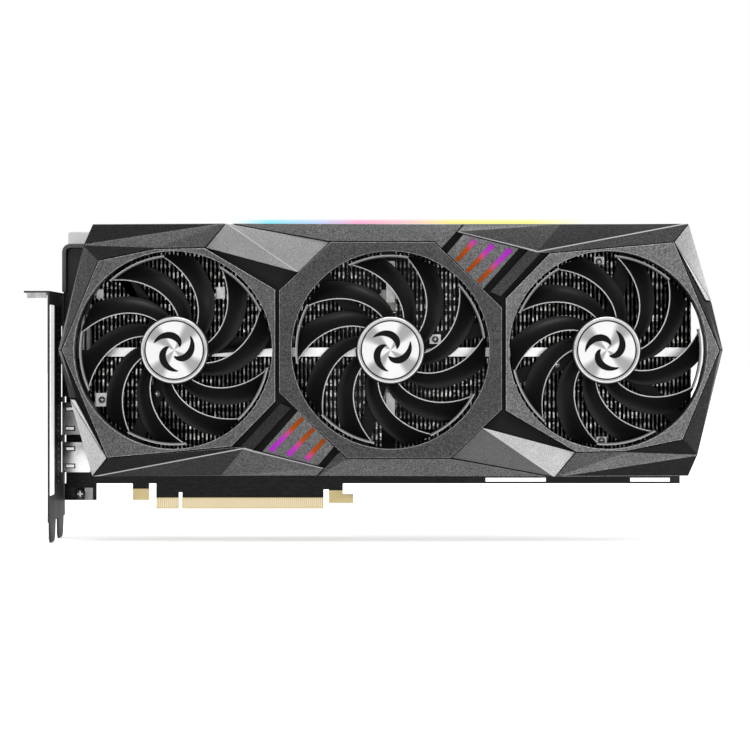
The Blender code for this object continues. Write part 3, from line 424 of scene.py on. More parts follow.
# ------------------------------------------------------------------------------------------------
# Fin stacks: stamped aluminium sheets on a folded root. Bent tabs on each sheet's front edge keep
# the sheets apart. A bright bar ties the sheets together across the middle.
# ------------------------------------------------------------------------------------------------
def sheet_metal(name, dark, light, cloud_scale):
    metal = Finish(name, dark, 0.35, Metallic=1.0)
    cloud = metal.grain(cloud_scale, 3.0)
    metal.feed("Base Color", metal.blend(metal.between(cloud, 0.35, 0.65), dark, light))
    metal.feed("Roughness", cloud * 0.3 + 0.2)
    return metal


# The fin sheets are coloured near black: painted shade for the deep gaps between the aluminium fins.
shaded_fin_metal = sheet_metal("fin_sheet", (0.015, 0.015, 0.015), (0.08, 0.08, 0.08), 60)
tab_metal = Finish("bent_fin_tabs", (0.5, 0.5, 0.5), 0.35, Metallic=1.0)
# The tabs' colour is painted glints: near-black tabs lit to near white as painted highlights, in random
# patches.
glints = tab_metal.between(tab_metal.grain(420, 3.0), 0.38, 0.68)
patches = tab_metal.between(tab_metal.grain(55, 2.0), 0.35, 0.6) * 0.85 + 0.15
tab_metal.feed("Base Color", tab_metal.blend(glints * patches, (0.02, 0.02, 0.02), (0.98, 0.96, 0.92)))
tab_metal.feed("Roughness", glints * 0.2 + 0.25)
strip_metal = sheet_metal("bright_tie_strip", (0.75, 0.75, 0.75), (0.98, 0.98, 0.97), 60)
fin_pitch = 2.0 * MM
for place in ("left", "right"):
    painted(f"fin_stack_{place}", shaded_fin_metal)
    low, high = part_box(f"fin_stack_{place}")
    columns = int((high.x - low.x) / fin_pitch) + 1
    tabs = Pattern(f"fin_tabs_{place}", columns=columns, rows=19, pitch=fin_pitch, row_step=5.2 * MM,
                   tab=(0.7 * MM, 0.3 * MM, 3.1 * MM),
                   start=(low.x + 0.25 * MM, low.y + 0.1 * MM, centre_fan.z - 47 * MM))
    tab_shape = tabs.node("GeometryNodeMeshCube", None, {"Size": tabs.size("tab")})
    column = tabs.node("GeometryNodeMeshLine", None,
                       {"Count": tabs.size("rows"), "Offset": tabs.vector(0.0, 0.0, tabs.size("row_step")),
                        "Start Location": tabs.size("start")})
    column_tabs = tabs.on_points(column, tab_shape)
    across = tabs.node("GeometryNodeMeshLine", None,
                       {"Count": tabs.size("columns"), "Offset": tabs.vector(tabs.size("pitch"))})
    tab_rows = tabs.made(tabs.on_points(across, column_tabs), tab_metal)
    share_body(tab_rows, "fin_aluminium", "card")
painted("fin_tie_strip", strip_metal)


# ------------------------------------------------------------------------------------------------
# Motor bases, stators, shafts and magnet rings. The bases are black moulded spiders; small screws
# hold them through their arms. The motors' inner pieces are hidden by the rotors.
# ------------------------------------------------------------------------------------------------
black_plastic = Finish("black_moulded_plastic", (0.006, 0.006, 0.006), 0.5, Specular_IOR_Level=0.1)
fine_texture = black_plastic.grain(2600, 2.0)
black_plastic.feed("Base Color", black_plastic.blend(fine_texture, (0.003, 0.003, 0.003),
                                                     (0.009, 0.009, 0.0095)))
black_plastic.feed("Roughness", fine_texture * 0.2 + 0.42)
black_plastic.emboss(fine_texture, 0.03 * MM, 0.5)

steel = Finish("bright_steel", (0.72, 0.72, 0.73), 0.25, Metallic=1.0)
steel.feed("Roughness", steel.grain(700, 3.0) * 0.2 + 0.18)
winding = Finish("lacquered_winding", (0.4, 0.17, 0.06), 0.35, Metallic=0.8)
turns = winding.grain(300, 1.0, (1, 12, 1))
winding.feed("Base Color", winding.blend(turns, (0.25, 0.09, 0.03), (0.55, 0.25, 0.1)))
magnet = Finish("bonded_magnet", (0.06, 0.06, 0.06), 0.6)
magnet.feed("Base Color", magnet.blend(magnet.grain(500), (0.04, 0.04, 0.04), (0.09, 0.09, 0.09)))

FAN_SIDES = ("left", "centre", "right")
for side in FAN_SIDES:
    softened(f"motor_base_{side}", f"fan_base_{side}", black_plastic, "shell_plastic", edge=0.3 * MM)
    painted(f"fan_stator_{side}", winding)
    painted(f"fan_shaft_{side}", steel)
    painted(f"magnet_ring_{side}", magnet)


# ------------------------------------------------------------------------------------------------
# Fan rotors: satin black mouldings. Ten swept blades in five pairs, each pair tied at its tips by a thin
# arc, stand round a hub cup. Each blade leans back from its leading edge, which carries a painted highlight.
# ------------------------------------------------------------------------------------------------
blade_plastic = Finish("satin_black_blade", (0.004, 0.004, 0.004), 0.36, Specular_IOR_Level=0.17)
mould_grain = blade_plastic.grain(1800, 2.0)
# The rim attribute marks the blades' leading edges and the arcs' outer edges, where the colour is lightened
# to grey as a painted highlight.
leading_edge_highlight = blade_plastic.node("ShaderNodeAttribute", {"attribute_name": "rim"}, output="Fac")
blade_colour = blade_plastic.blend(mould_grain, (0.003, 0.003, 0.003), (0.007, 0.007, 0.007))
blade_plastic.feed("Base Color", blade_plastic.blend(leading_edge_highlight, blade_colour, (0.5, 0.5, 0.5)))
blade_plastic.feed("Roughness", mould_grain * 0.12 + 0.3)

hub_radius = 16.3 * MM
blade_radius = 45.5 * MM
rotor_front, rotor_back = (corner.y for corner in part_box("fan_rotor_centre"))
blade_front = rotor_front + 0.3 * MM
blade_depth = 7.4 * MM
blade_sweep = math.radians(50)
blade_width = math.radians(20)
pair_spread = math.radians(34.8)
blade_wall = 1.0 * MM
rest_turns = {"left": math.radians(26.3), "centre": math.radians(9.2), "right": math.radians(50.2)}


def on_fan(radius, angle, y):
    return Vector((radius * math.cos(angle), y, radius * math.sin(angle)))


def joined_rings(bm, rings):
    """A skin round a row of sections, closed at both ends."""
    for ring, after in zip(rings, rings[1:]):
        for here in range(len(ring)):
            follow = (here + 1) % len(ring)
            bm.faces.new([ring[here], ring[follow], after[follow], after[here]])
    for ring in (rings[0], rings[-1]):
        bm.faces.new(ring)


def blade(bm, rim, tip_angle):
    """One blade: a rounded leading edge, then a back that falls away towards the heatsink."""
    root = hub_radius - 0.6 * MM
    spans = 18
    chords = 10
    rings = []
    for step in range(spans + 1):
        share = step / spans
        radius = root + (blade_radius - root) * share
        lead = tip_angle - blade_sweep * (1 - share)
        width = blade_width * (1.06 - 0.1 * share)
        upper, lower = [], []
        for stop in range(chords + 1):
            along = (stop / chords) ** 1.4
            fall = 1 - (1 - along) ** 1.7
            y = blade_front + fall * (blade_depth - blade_wall - 0.3 * MM)
            angle = lead - width * along
            wall = blade_wall * (1.0 - 0.55 * along)
            upper.append(on_fan(radius, angle, y))
            lower.append(on_fan(radius, angle - 0.15 * MM / radius, y + wall))
        nose = on_fan(radius, lead + 0.35 * MM / radius, blade_front + blade_wall / 2)
        rings.append([bm.verts.new(point) for point in [nose] + upper + lower[::-1]])
        # Marks the leading edge for its painted highlight.
        for corner in rings[-1][:2]:
            corner[rim] = 1.0
    joined_rings(bm, rings)


def tip_link(bm, rim, start, end):
    """The thin arc between the tips of a pair."""
    steps = 16
    outer = blade_radius - 0.15 * MM
    inner = outer - 1.2 * MM
    link_back = blade_front + 1.4 * MM
    section = [(outer, blade_front), (outer, link_back), (inner, link_back), (inner, blade_front)]
    rings = []
    for step in range(steps + 1):
        angle = start + (end - start) * step / steps
        rings.append([bm.verts.new(on_fan(radius, angle, y)) for radius, y in section])
        # Marks the arc's outer front edge for a fainter painted highlight.
        rings[-1][0][rim] = 0.8
    joined_rings(bm, rings)


def lathe(bm, profile, sides=96):
    """A closed (radius, y) profile turned about the Y axis."""
    rings = []
    for radius, y in profile:
        if radius == 0:
            rings.append([bm.verts.new((0, y, 0))] * sides)
        else:
            angles = (2 * math.pi * side / sides for side in range(sides))
            rings.append([bm.verts.new(on_fan(radius, angle, y)) for angle in angles])
    for ring, after in zip(rings, rings[1:] + rings[:1]):
        for here in range(sides):
            follow = (here + 1) % sides
            corners = list(dict.fromkeys([ring[here], ring[follow], after[follow], after[here]]))
            if len(corners) > 2:
                bm.faces.new(corners)


for side in FAN_SIDES:
    bm = bmesh.new()
    rim = bm.verts.layers.float.new("rim")
    for pair in range(5):
        tip = rest_turns[side] + 2 * math.pi * pair / 5
        blade(bm, rim, tip)
        blade(bm, rim, tip + pair_spread)
        tip_link(bm, rim, tip - math.radians(2), tip + pair_spread)
    wall = hub_radius - 1.5 * MM
    lathe(bm, [(0, rotor_front), (hub_radius - 0.4 * MM, rotor_front), (hub_radius, rotor_front + 0.4 * MM),
               (hub_radius, rotor_back), (wall, rotor_back), (wall, rotor_front + 1.5 * MM),
               (0, rotor_front + 1.5 * MM)])
    bmesh.ops.recalc_face_normals(bm, faces=bm.faces)
    centre = frame_axis(f"fan_{side}")
    bmesh.ops.translate(bm, verts=bm.verts, vec=(centre.x, 0, centre.z))
    rotor = new_piece(f"rotor_{side}", mesh_of(bm, f"rotor_{side}", 40), blade_plastic)
    share_body(rotor, "fan_plastic", f"fan_{side}", f"fan_rotor_{side}")


# ------------------------------------------------------------------------------------------------
# Hub caps: spun aluminium. A polished rim stands round a black ring and a circular-brushed disc,
# which carries a plain dark mark of three curved sweeps.
# ------------------------------------------------------------------------------------------------
mark_black = Finish("mark_enamel", (0.004, 0.004, 0.004), 0.5, Specular_IOR_Level=0.05)
mark_black.feed("Roughness", mark_black.grain(800) * 0.2 + 0.3)
cap_low, cap_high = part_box("fan_cap_centre")
cap_radius = (cap_high.x - cap_low.x) / 2
cap_front, cap_back = cap_low.y, cap_high.y
groove = 14.0 * MM


def swept_mark(bm, turn):
    """One of the mark's three sweeps: a crescent that narrows to both of its ends."""
    steps = 24
    level = cap_front + 0.08 * MM
    inner, outer = [], []
    for step in range(steps + 1):
        share = step / steps
        radius = (3.0 + 7.2 * share) * MM
        angle = turn + math.radians(135) * share
        half = (0.12 + 1.7 * math.sin(math.pi * share) ** 0.8) * MM
        inner.append(bm.verts.new(on_fan(radius - half, angle, level)))
        outer.append(bm.verts.new(on_fan(radius + half, angle, level)))
    faces = [bm.faces.new([inner[step], inner[step + 1], outer[step + 1], outer[step]])
             for step in range(steps)]
    solid = bmesh.ops.extrude_face_region(bm, geom=faces)["geom"]
    bmesh.ops.translate(bm, verts=[item for item in solid if isinstance(item, bmesh.types.BMVert)],
                        vec=(0, 0.3 * MM, 0))


def spun_aluminium(side, centre):
    """Turned metal whose disc carries a painted reflection of four lobes, with a dark band inside its bright
    rim.
    """
    spun = Finish(f"spun_aluminium_{side}", (0.9, 0.9, 0.9), 0.25, Metallic=0.55)
    across = spun.axis(spun.place, "X") - centre.x
    up = spun.axis(spun.place, "Z") - centre.z
    radius = (across ** 2 + up ** 2) ** 0.5
    angle = spun.node("ShaderNodeMath", {"operation": "ARCTAN2"}, {0: up, 1: across})
    # The lobes are a painted reflection of the brushed disc, fixed in its colour.
    lobes = spun.node("ShaderNodeMath", {"operation": "COSINE"}, {0: angle * 4.0 - 3.6})
    disc = spun.between(radius, 13.9 * MM, 13.7 * MM)
    glare = spun.between(lobes, -0.2, 0.95) * disc * 0.62
    band = (1.0 - disc) * 0.6 - spun.between(radius, 14.6 * MM, 15.2 * MM) * 0.45
    edge = spun.between(radius, 15.3 * MM, 15.8 * MM) * 0.75
    spun.feed("Base Color", spun.blend(glare + band + edge, (0.62, 0.62, 0.62), (0.05, 0.05, 0.05)))
    rings = spun.node("ShaderNodeTexNoise", {"noise_dimensions": "1D"},
                      {"W": radius, "Scale": 4500.0, "Detail": 2.0})
    spun.emboss(rings * disc, 0.04 * MM, 0.5)
    spun.feed("Roughness", disc * 0.12 + 0.16)
    return spun


for side in FAN_SIDES:
    centre = frame_axis(f"fan_{side}")
    bm = bmesh.new()
    lathe(bm, [(0, cap_front + 0.25 * MM), (groove - 0.45 * MM, cap_front + 0.2 * MM),
               (groove - 0.3 * MM, cap_back - 0.1 * MM), (groove + 0.1 * MM, cap_back - 0.1 * MM),
               (groove + 0.2 * MM, cap_front + 0.2 * MM), (groove + 0.7 * MM, cap_front + 0.03 * MM),
               (groove + 1.1 * MM, cap_front), (cap_radius - 0.25 * MM, cap_front + 0.2 * MM),
               (cap_radius, cap_front + 0.5 * MM), (cap_radius, cap_back), (0, cap_back)], 128)
    bmesh.ops.translate(bm, verts=bm.verts, vec=(centre.x, 0, centre.z))
    cap = new_piece(f"cap_{side}", mesh_of(bm, f"cap_{side}", 50), spun_aluminium(side, centre))
    share_body(cap, "spun_aluminium", f"fan_{side}", f"fan_cap_{side}")
    bm = bmesh.new()
    lathe(bm, [(groove - 0.42 * MM, cap_front + 0.3 * MM), (groove + 0.17 * MM, cap_front + 0.3 * MM),
               (groove + 0.08 * MM, cap_back - 0.12 * MM), (groove - 0.28 * MM, cap_back - 0.12 * MM)], 128)
    for sweep in range(3):
        swept_mark(bm, rest_turns[side] + 2 * math.pi * sweep / 3)
    bmesh.ops.translate(bm, verts=bm.verts, vec=(centre.x, 0, centre.z))
    mark = new_piece(f"mark_{side}", mesh_of(bm, f"mark_{side}"), mark_black)
    share_body(mark, "spun_aluminium", f"fan_{side}")


# ------------------------------------------------------------------------------------------------
# Shroud body: a black moulded tray with a fine texture. It holds the fans and covers the heatsink,
# and the painted pieces are fixed to its front.
# ------------------------------------------------------------------------------------------------
softened("shroud", "shroud_body", black_plastic, "shell_plastic", edge=0.4 * MM)


# ------------------------------------------------------------------------------------------------
# Bezels, covers, bands and corner frames: mouldings with a grey paint that carries a fine metallic
# speckle. Their edges are rounded, so each joint between them shows as a thin dark line.
# ------------------------------------------------------------------------------------------------
def speckled_paint(name, dark, light, lines, line_shade, roughness=0.42, metallic=0.35):
    """Speckled paint times the piece's painted light and shade, with painted highlights along edges as thin
    lines.

    Each line is (start, end, width) with (across, up) points, in millimetres from the centre fan. It
    lies on the left-hand side of its run.
    """
    paint = Finish(name, dark, roughness, Metallic=metallic, Specular_IOR_Level=0.12)
    speckle = paint.grain(2100, 1.0, roughness=0.7)
    cloud = paint.grain(40, 2.0)
    # The shade attribute carries the painted light and shade of each facet.
    shade = paint.node("ShaderNodeAttribute", {"attribute_name": "shade"}, output="Fac")
    colour = paint.blend(paint.between(speckle, 0.3, 0.72), dark, light)
    shaded = paint.node("ShaderNodeVectorMath", {"operation": "SCALE"},
                        {0: colour, "Scale": shade * (cloud * 0.5 + 0.75)})
    across = (paint.axis(paint.place, "X") - centre_fan.x) / MM
    up = (paint.axis(paint.place, "Z") - centre_fan.z) / MM
    # Each line is a painted highlight along an edge.
    for (start_u, start_w), (end_u, end_w), width in lines:
        length = math.hypot(end_u - start_u, end_w - start_w)
        run_u, run_w = (end_u - start_u) / length, (end_w - start_w) / length
        along = (across - start_u) * run_u + (up - start_w) * run_w
        aside = (up - start_w) * run_u - (across - start_u) * run_w
        on_line = (along > 0.0) * (along < length) * (aside > -0.1) * (aside < width)
        shaded = paint.blend(on_line, shaded, (line_shade, line_shade, line_shade))
    paint.feed("Base Color", shaded)
    paint.feed("Roughness", speckle * 0.25 + (roughness - 0.12))
    paint.emboss(speckle, 0.05 * MM, 0.3)
    return paint


def half_turn(lines):
    """The lines after half a turn about the centre fan."""
    return [((-start[0], -start[1]), (-end[0], -end[1]), *width) for start, end, *width in lines]


edge_highlight_lines = [((31.0, 55.75), (65.1, 47.45), 0.65), ((65.0, 47.45), (69.2, 46.35), 0.65),
                  ((69.2, 46.3), (141.5, 60.0), 0.45)]
grey_paint = speckled_paint("speckled_grey_paint", (0.045, 0.045, 0.046), (0.16, 0.16, 0.163),
                            edge_highlight_lines + half_turn(edge_highlight_lines), 0.27)
# The three bezels share one paint; their different shades, and the bright rims that follow them, are painted
# light and shade.
for side, shade in (("left", 0.66), ("centre", 0.42), ("right", 1.02)):
    softened(f"bezel_ring_{side}", f"bezel_{side}", grey_paint, "speckled_plastic", edge=0.4 * MM, steps=3,
             shades=[(0, 0, shade)], rim=3.4 * shade + 0.8)
# Painted light and shade for each facet of these mouldings.
FACET_SHADES = {
    "edge_band_top": [(-13, 56, 0.78), (28, 54, 0.75)],
    "edge_band_bottom": [(13, -56, 0.76), (-28, -54, 0.37)],
    "corner_frame_left": [(-122, 57, 0.1), (-132, 47, 0.1), (-112, 53, 0.68), (-92, 52, 0.49),
                          (-149, 23, 0.42), (-153, -15, 0.2), (-154, -8, 0.05), (-146, -25, 0.0)],
    "corner_frame_right": [(122, -57, 0.09), (132, -47, 0.06), (112, -53, 1.0), (92, -52, 0.56),
                           (149, -23, 0.2), (153, 15, 0.2), (154, 8, 0.08), (146, 25, 0.12)],
    "cover_bottom_left": [(-56, -54, 0.62), (-48.8, -58.5, 0.22), (-97, -55, 0.22), (-98, -50, 0.08),
                          (-61, -38, 0.14)],
    "cover_top_right": [(56, 54, 0.4), (48.8, 58.5, 0.28), (97, 55, 0.2), (98, 50, 0.36),
                        (61, 38, 0.27)],
}
# Rounded edges along these ridges take a bright rim as a painted highlight.
COVER_RIDGE = [((31, 56), (65, 47.3)), ((65, 47.3), (69.2, 46.2)), ((69.2, 46.2), (141.7, 60.2))]
FACET_RIDGES = {"cover_top_right": COVER_RIDGE, "cover_bottom_left": half_turn(COVER_RIDGE)}
for node, shades in FACET_SHADES.items():
    softened(f"{node}_shell", node, grey_paint, "speckled_plastic", edge=0.3 * MM, steps=2, sharper_than=4,
             shades=shades, rim=2.6, ridges=FACET_RIDGES.get(node, []))


# ------------------------------------------------------------------------------------------------
# Bright trims: mouldings in a light grey metallic paint, folded along a crisp ridge. Two fill the
# corners between the bezels, and two stand at the ends of the card.
# ------------------------------------------------------------------------------------------------
# A painted highlight along each trim's fold.
fold_highlight_line = [((-77.5, 59.9), (-44.0, 36.8), 0.3)]
silver_paint = speckled_paint("light_grey_metallic_paint", (0.26, 0.26, 0.262), (0.42, 0.42, 0.422),
                              fold_highlight_line + half_turn(fold_highlight_line), 0.33, 0.36, 0.4)
# Painted light and shade for each facet of the trims.
TRIM_SHADES = {
    "trim_top_silver": [(-70, 48, 0.55), (-50, 49, 0.58)],
    "trim_bottom_silver": [(70, -48, 1.05), (50, -49, 0.24)],
    "end_trim_left": [(-145, -32, 0.1), (-143, -45, 0.9)],
    "end_trim_right": [(145, 32, 0.2), (143, 45, 0.75)],
}
for node, shades in TRIM_SHADES.items():
    softened(f"{node}_shell", node, silver_paint, "bright_trim", edge=0.2 * MM, steps=2, sharper_than=3,
             shades=shades, rim=1.5, ridges=[])


# ------------------------------------------------------------------------------------------------
# Light panels with three slanted slots each, the milky guides behind them, and the light bar along
# the top edge. Small lamps colour the guides from purple to orange, and the bar from blue to yellow.
# ------------------------------------------------------------------------------------------------
purple_to_orange = ((0.0, (0.3, 0.055, 0.002)), (0.36, (0.42, 0.07, 0.005)), (0.5, (0.58, 0.07, 0.2)),
                    (0.68, (0.46, 0.04, 0.48)), (1.0, (0.4, 0.03, 0.5)))
slots_start, slots_travel = 75 * MM, 26 * MM
for place, side in (("top", 1), ("bottom", -1)):
    softened(f"slotted_panel_{place}", f"light_panel_{place}", grey_paint, "speckled_plastic",
             edge=0.12 * MM, steps=1, shades=[(0, 0, 0.85)], rim=0.3)
    guide = Finish(f"lit_guide_{place}", (0.005, 0.003, 0.005), 0.6, Specular_IOR_Level=0.05,
                   Emission_Strength=1.0)
    slant = guide.axis(guide.place, "X") - centre_fan.x + guide.axis(guide.place, "Z") - centre_fan.z
    share = (slant * side - slots_start) / slots_travel
    guide.feed("Emission Color", guide.node("ShaderNodeValToRGB", {"stops": purple_to_orange}, {0: share}))
    softened(f"light_guide_core_{place}", f"light_guide_{place}", guide, "light_guide", edge=0.2 * MM)

bar = Finish("lit_bar", (0.02, 0.02, 0.02), 0.5, Emission_Strength=1.0, Specular_IOR_Level=0.0)
bar_low, bar_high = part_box("light_bar")
along = (bar.axis(bar.place, "X") - bar_low.x) / (bar_high.x - bar_low.x)
rise = (bar.axis(bar.place, "Z") - bar_low.z) / (bar_high.z - bar_low.z)
blue_to_yellow = ((0.0, (1.0, 1.0, 1.0)), (0.1, (0.28, 0.86, 1.0)), (0.24, (0.55, 0.72, 1.0)),
                  (0.36, (1.0, 0.45, 0.68)), (0.5, (1.0, 0.62, 0.62)), (0.62, (1.0, 0.9, 0.28)),
                  (0.85, (1.0, 0.95, 0.3)), (1.0, (1.0, 1.0, 0.9)))
hue = bar.node("ShaderNodeValToRGB", {"stops": blue_to_yellow}, {0: along})
bar.feed("Emission Color", bar.blend(rise * rise * 0.7, hue, (1.0, 1.0, 1.0)))
softened("diffuser_bar", "light_bar", bar, "light_guide", edge=0.3 * MM, steps=3)


# ------------------------------------------------------------------------------------------------
# Sockets: black moulded power sockets on the top edge, plated steel display sockets behind the
# bracket with a black contact tongue in each.
# ------------------------------------------------------------------------------------------------
def blocks(name, boxes, finish, slot):
    """Small rectangular pieces in one mesh; each box is (low, high) in millimetres in the card's frame."""
    bm = bmesh.new()
    for low, high in boxes:
        size = [(b - a) * MM for a, b in zip(low, high)]
        middle = [(a + b) / 2 * MM for a, b in zip(low, high)]
        place = Matrix.Translation(middle) @ Matrix.Diagonal((*size, 1.0))
        bmesh.ops.create_cube(bm, size=1.0, matrix=place)
    bmesh.ops.bevel(bm, geom=bm.edges[:], offset=0.08 * MM, segments=1, affect="EDGES", clamp_overlap=True)
    share_body(new_piece(name, mesh_of(bm, name), finish), slot, "card")


for number in (1, 2, 3):
    softened(f"power_housing_{number}", f"power_socket_{number}", black_plastic, "socket_plastic",
             edge=0.15 * MM)
shell_metal = sheet_metal("socket_shell_tin", (0.25, 0.25, 0.25), (0.8, 0.8, 0.8), 70)
# The shaded tin is the socket tin made much darker, painted shade for the display sockets that sit in
# shadow.
shaded_metal = sheet_metal("shaded_shell_tin", (0.02, 0.02, 0.02), (0.08, 0.08, 0.08), 70)
# A darker copy of the socket tin.
darker_tin = sheet_metal("dull_shell_tin", (0.08, 0.08, 0.08), (0.3, 0.3, 0.3), 90)
for node, metal in (("hdmi_socket", shell_metal), ("display_socket_1", darker_tin),
                    ("display_socket_2", shaded_metal), ("display_socket_3", shaded_metal)):
    softened(f"{node}_shell", node, metal, "socket_shell", edge=0.15 * MM)
dark_gaps, springs = [], []
for node in ("hdmi_socket", "display_socket_1"):
    low, high = (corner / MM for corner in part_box(node))
    for z in (low.z + 3.2, high.z - 3.2):
        dark_gaps.append(((low.x + 1.6, low.y - 0.1, z - 1.2), (low.x + 6.6, low.y + 0.2, z + 1.2)))
        springs.append(((low.x + 2.0, low.y - 0.25, z - 0.7), (low.x + 6.0, low.y + 0.1, z + 0.7)))
blocks("spring_windows", dark_gaps, black_plastic, "socket_shell")
blocks("contact_springs", springs, strip_metal, "socket_shell")


# ------------------------------------------------------------------------------------------------
# Slot bracket: plated steel sheet, pressed and bent, coloured dark as painted shade, with a glowing pale
# strip along its front edge as a painted highlight and a dark sheet behind its vents as painted shade. It is
# held at the board's lug by a bright tab and a cross-head screw.
# ------------------------------------------------------------------------------------------------
# The plated sheet is coloured near black as painted shade, with random stains.
shaded_bracket_finish = Finish("blackened_bracket_sheet", (0.05, 0.05, 0.05), 0.55, Specular_IOR_Level=0.12)
stains = shaded_bracket_finish.grain(80, 3.0)
shaded_bracket_finish.feed("Base Color", shaded_bracket_finish.blend(stains, (0.014, 0.014, 0.014), (0.04, 0.04, 0.04)))
shaded_bracket_finish.feed("Roughness", stains * 0.2 + 0.45)
softened("bracket_sheet", "slot_bracket", shaded_bracket_finish, "bracket_steel", edge=0.15 * MM, steps=2)
# A glowing pale strip along the bracket's inner face, a painted highlight for the lit front edge of the
# sheet.
strip_glow = Finish("pale_gasket", (0.95, 0.94, 0.92), 0.6, Emission_Strength=0.55)
strip_glow.feed("Emission Color", strip_glow.blend(strip_glow.grain(200), (0.9, 0.88, 0.85), (1.0, 0.99, 0.97)))
strip_glow.feed("Roughness", strip_glow.grain(400) * 0.2 + 0.5)
bracket_low, bracket_high = (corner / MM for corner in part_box("slot_bracket"))
sheet, tab_reach = 0.9, 11.4
inner_face = bracket_low.x + tab_reach + sheet
strip_front, strip_back = bracket_low.y + 1.2, bracket_low.y + 10.5
blocks("bracket_highlight_strip", [((inner_face - 0.05, strip_front, 9.5), (inner_face + 0.35, strip_back, 101.5))],
       strip_glow, "bracket_steel")
vent_front, vent_low, vent_pitch, vent_rows = -20.0, 14.7, 3.1, 28
# A dark sheet behind the vents, painted shade for their dark openings.
blocks("vent_shade_sheet", [((inner_face, vent_front - 0.4, vent_low - 0.6), (inner_face + 0.2, -9.0, 101.0))],
       black_plastic, "bracket_steel")
blocks("vent_louvres", [((inner_face + 0.15, -17.0, vent_low + vent_pitch * row),
                         (inner_face + 0.35, -14.5, vent_low + vent_pitch * row + 0.9))
                        for row in range(vent_rows)], darker_tin, "bracket_steel")
tab_top = bracket_high.z - sheet
blocks("tab_lip", [((bracket_low.x + 1.5, bracket_low.y + 0.2, tab_top - 2.6),
                    (bracket_low.x + 10.8, bracket_low.y + 1.1, tab_top + 0.1))],
       shell_metal, "bracket_steel")
screw_low, screw_high = (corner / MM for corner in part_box("bracket_screw"))
screw_x, screw_z = (screw_low.x + screw_high.x) / 2, (screw_low.z + screw_high.z) / 2
blocks("bracket_lug_tab", [((screw_x + 2.0, -1.35, screw_z - 3.2), (screw_x + 6.2, -0.85, screw_z + 3.1))],
       darker_tin, "bracket_steel")
dark_steel = sheet_metal("blackened_screw", (0.03, 0.03, 0.03), (0.1, 0.1, 0.1), 300)
softened("lug_screw", "bracket_screw", dark_steel, "steel", edge=0.3 * MM)


def cross_recess(x, y, z, size):
    """The two bars of a cross-head recess, as blocks in millimetres."""
    half = size * 0.2
    return [((x - size, y - 0.03, z - half), (x + size, y + 0.2, z + half)),
            ((x - half, y - 0.03, z - size), (x + half, y + 0.2, z + size))]


blocks("lug_screw_cross", cross_recess(screw_x, screw_low.y, screw_z, 1.4), strip_metal, "steel")


# ------------------------------------------------------------------------------------------------
# Small steel pieces seen between the blades: the fixing screws of the motor bases, bright clips that
# hold the fins, and the bright frame in the gap between the two fin stacks.
# ------------------------------------------------------------------------------------------------
def plate_at(u, w, width, height, front=-34.2, thickness=0.35):
    """A small upright plate, its middle given in millimetres from the centre fan's axis."""
    x, z = centre_fan.x / MM + u, centre_fan.z / MM + w
    return (x - width / 2, front, z - height / 2), (x + width / 2, front + thickness, z + height / 2)


clip_finish = Finish("zinc_plated_clip", (0.7, 0.7, 0.7), 0.4, Metallic=0.25)
zinc = clip_finish.grain(500, 2.0)
clip_finish.feed("Base Color", clip_finish.blend(zinc, (0.45, 0.45, 0.44), (0.85, 0.85, 0.84)))
clip_finish.feed("Roughness", zinc * 0.2 + 0.3)
blocks("gap_frame", [plate_at(0, 33, 4.2, 20), plate_at(0, -29, 4.2, 17)], clip_finish, "fin_aluminium")
blocks("fin_clips", [plate_at(-82, 27.6, 4.2, 5.6), plate_at(-140.3, 27.2, 3.4, 4.6),
                     plate_at(100.7, 43.2, 5.0, 3.6), plate_at(101.9, -43.6, 5.0, 3.4),
                     plate_at(-139.2, -24, 6.5, 6.5), plate_at(21.5, 5.2, 5.4, 4.6, front=-36.95)],
       clip_finish, "fin_aluminium")
blocks("end_bend_plates", [plate_at(-149.4, 8.5, 1.6, 17, front=-30.0),
                           plate_at(-146.8, 8.5, 1.8, 17, front=-29.0)], clip_finish, "fin_aluminium")


def screw_heads(name, places, radius, front, back, recess):
    """Round cross-head screws in one mesh, all in millimetres from the centre fan's axis.

    Places are (across, up, level). Front, back and recess are counted from each screw's level.
    """
    heads = bmesh.new()
    crosses = []
    for u, w, level in places:
        x, z = centre_fan.x / MM + u, centre_fan.z / MM + w
        face, foot = (level + front) * MM, (level + back) * MM
        head = bmesh.new()
        lathe(head, [(0, face), ((radius - 0.3) * MM, face), (radius * MM, face + 0.1 * MM),
                     (radius * MM, foot), (0, foot)], 24)
        bmesh.ops.translate(head, verts=head.verts, vec=(x * MM, 0, z * MM))
        head_mesh = bpy.data.meshes.new("head")
        head.to_mesh(head_mesh)
        head.free()
        heads.from_mesh(head_mesh)
        bpy.data.meshes.remove(head_mesh)
        crosses += cross_recess(x, level + recess, z, radius * 0.55)
    share_body(new_piece(name, mesh_of(heads, name, 40), dark_steel), "steel", "card")
    blocks(f"{name}_crosses", crosses, strip_metal, "steel")


arm_level, clip_level = -36.6, -34.2
screw_heads("base_screws", [(21.5, 5.2, -36.95), (-112.5, -21, arm_level), (79.9, -7, arm_level),
                            (100.6, 42.6, clip_level), (101.9, -43.6, clip_level),
                            (-139.2, -24, clip_level)], 1.6, -0.5, 0.1, -0.5)


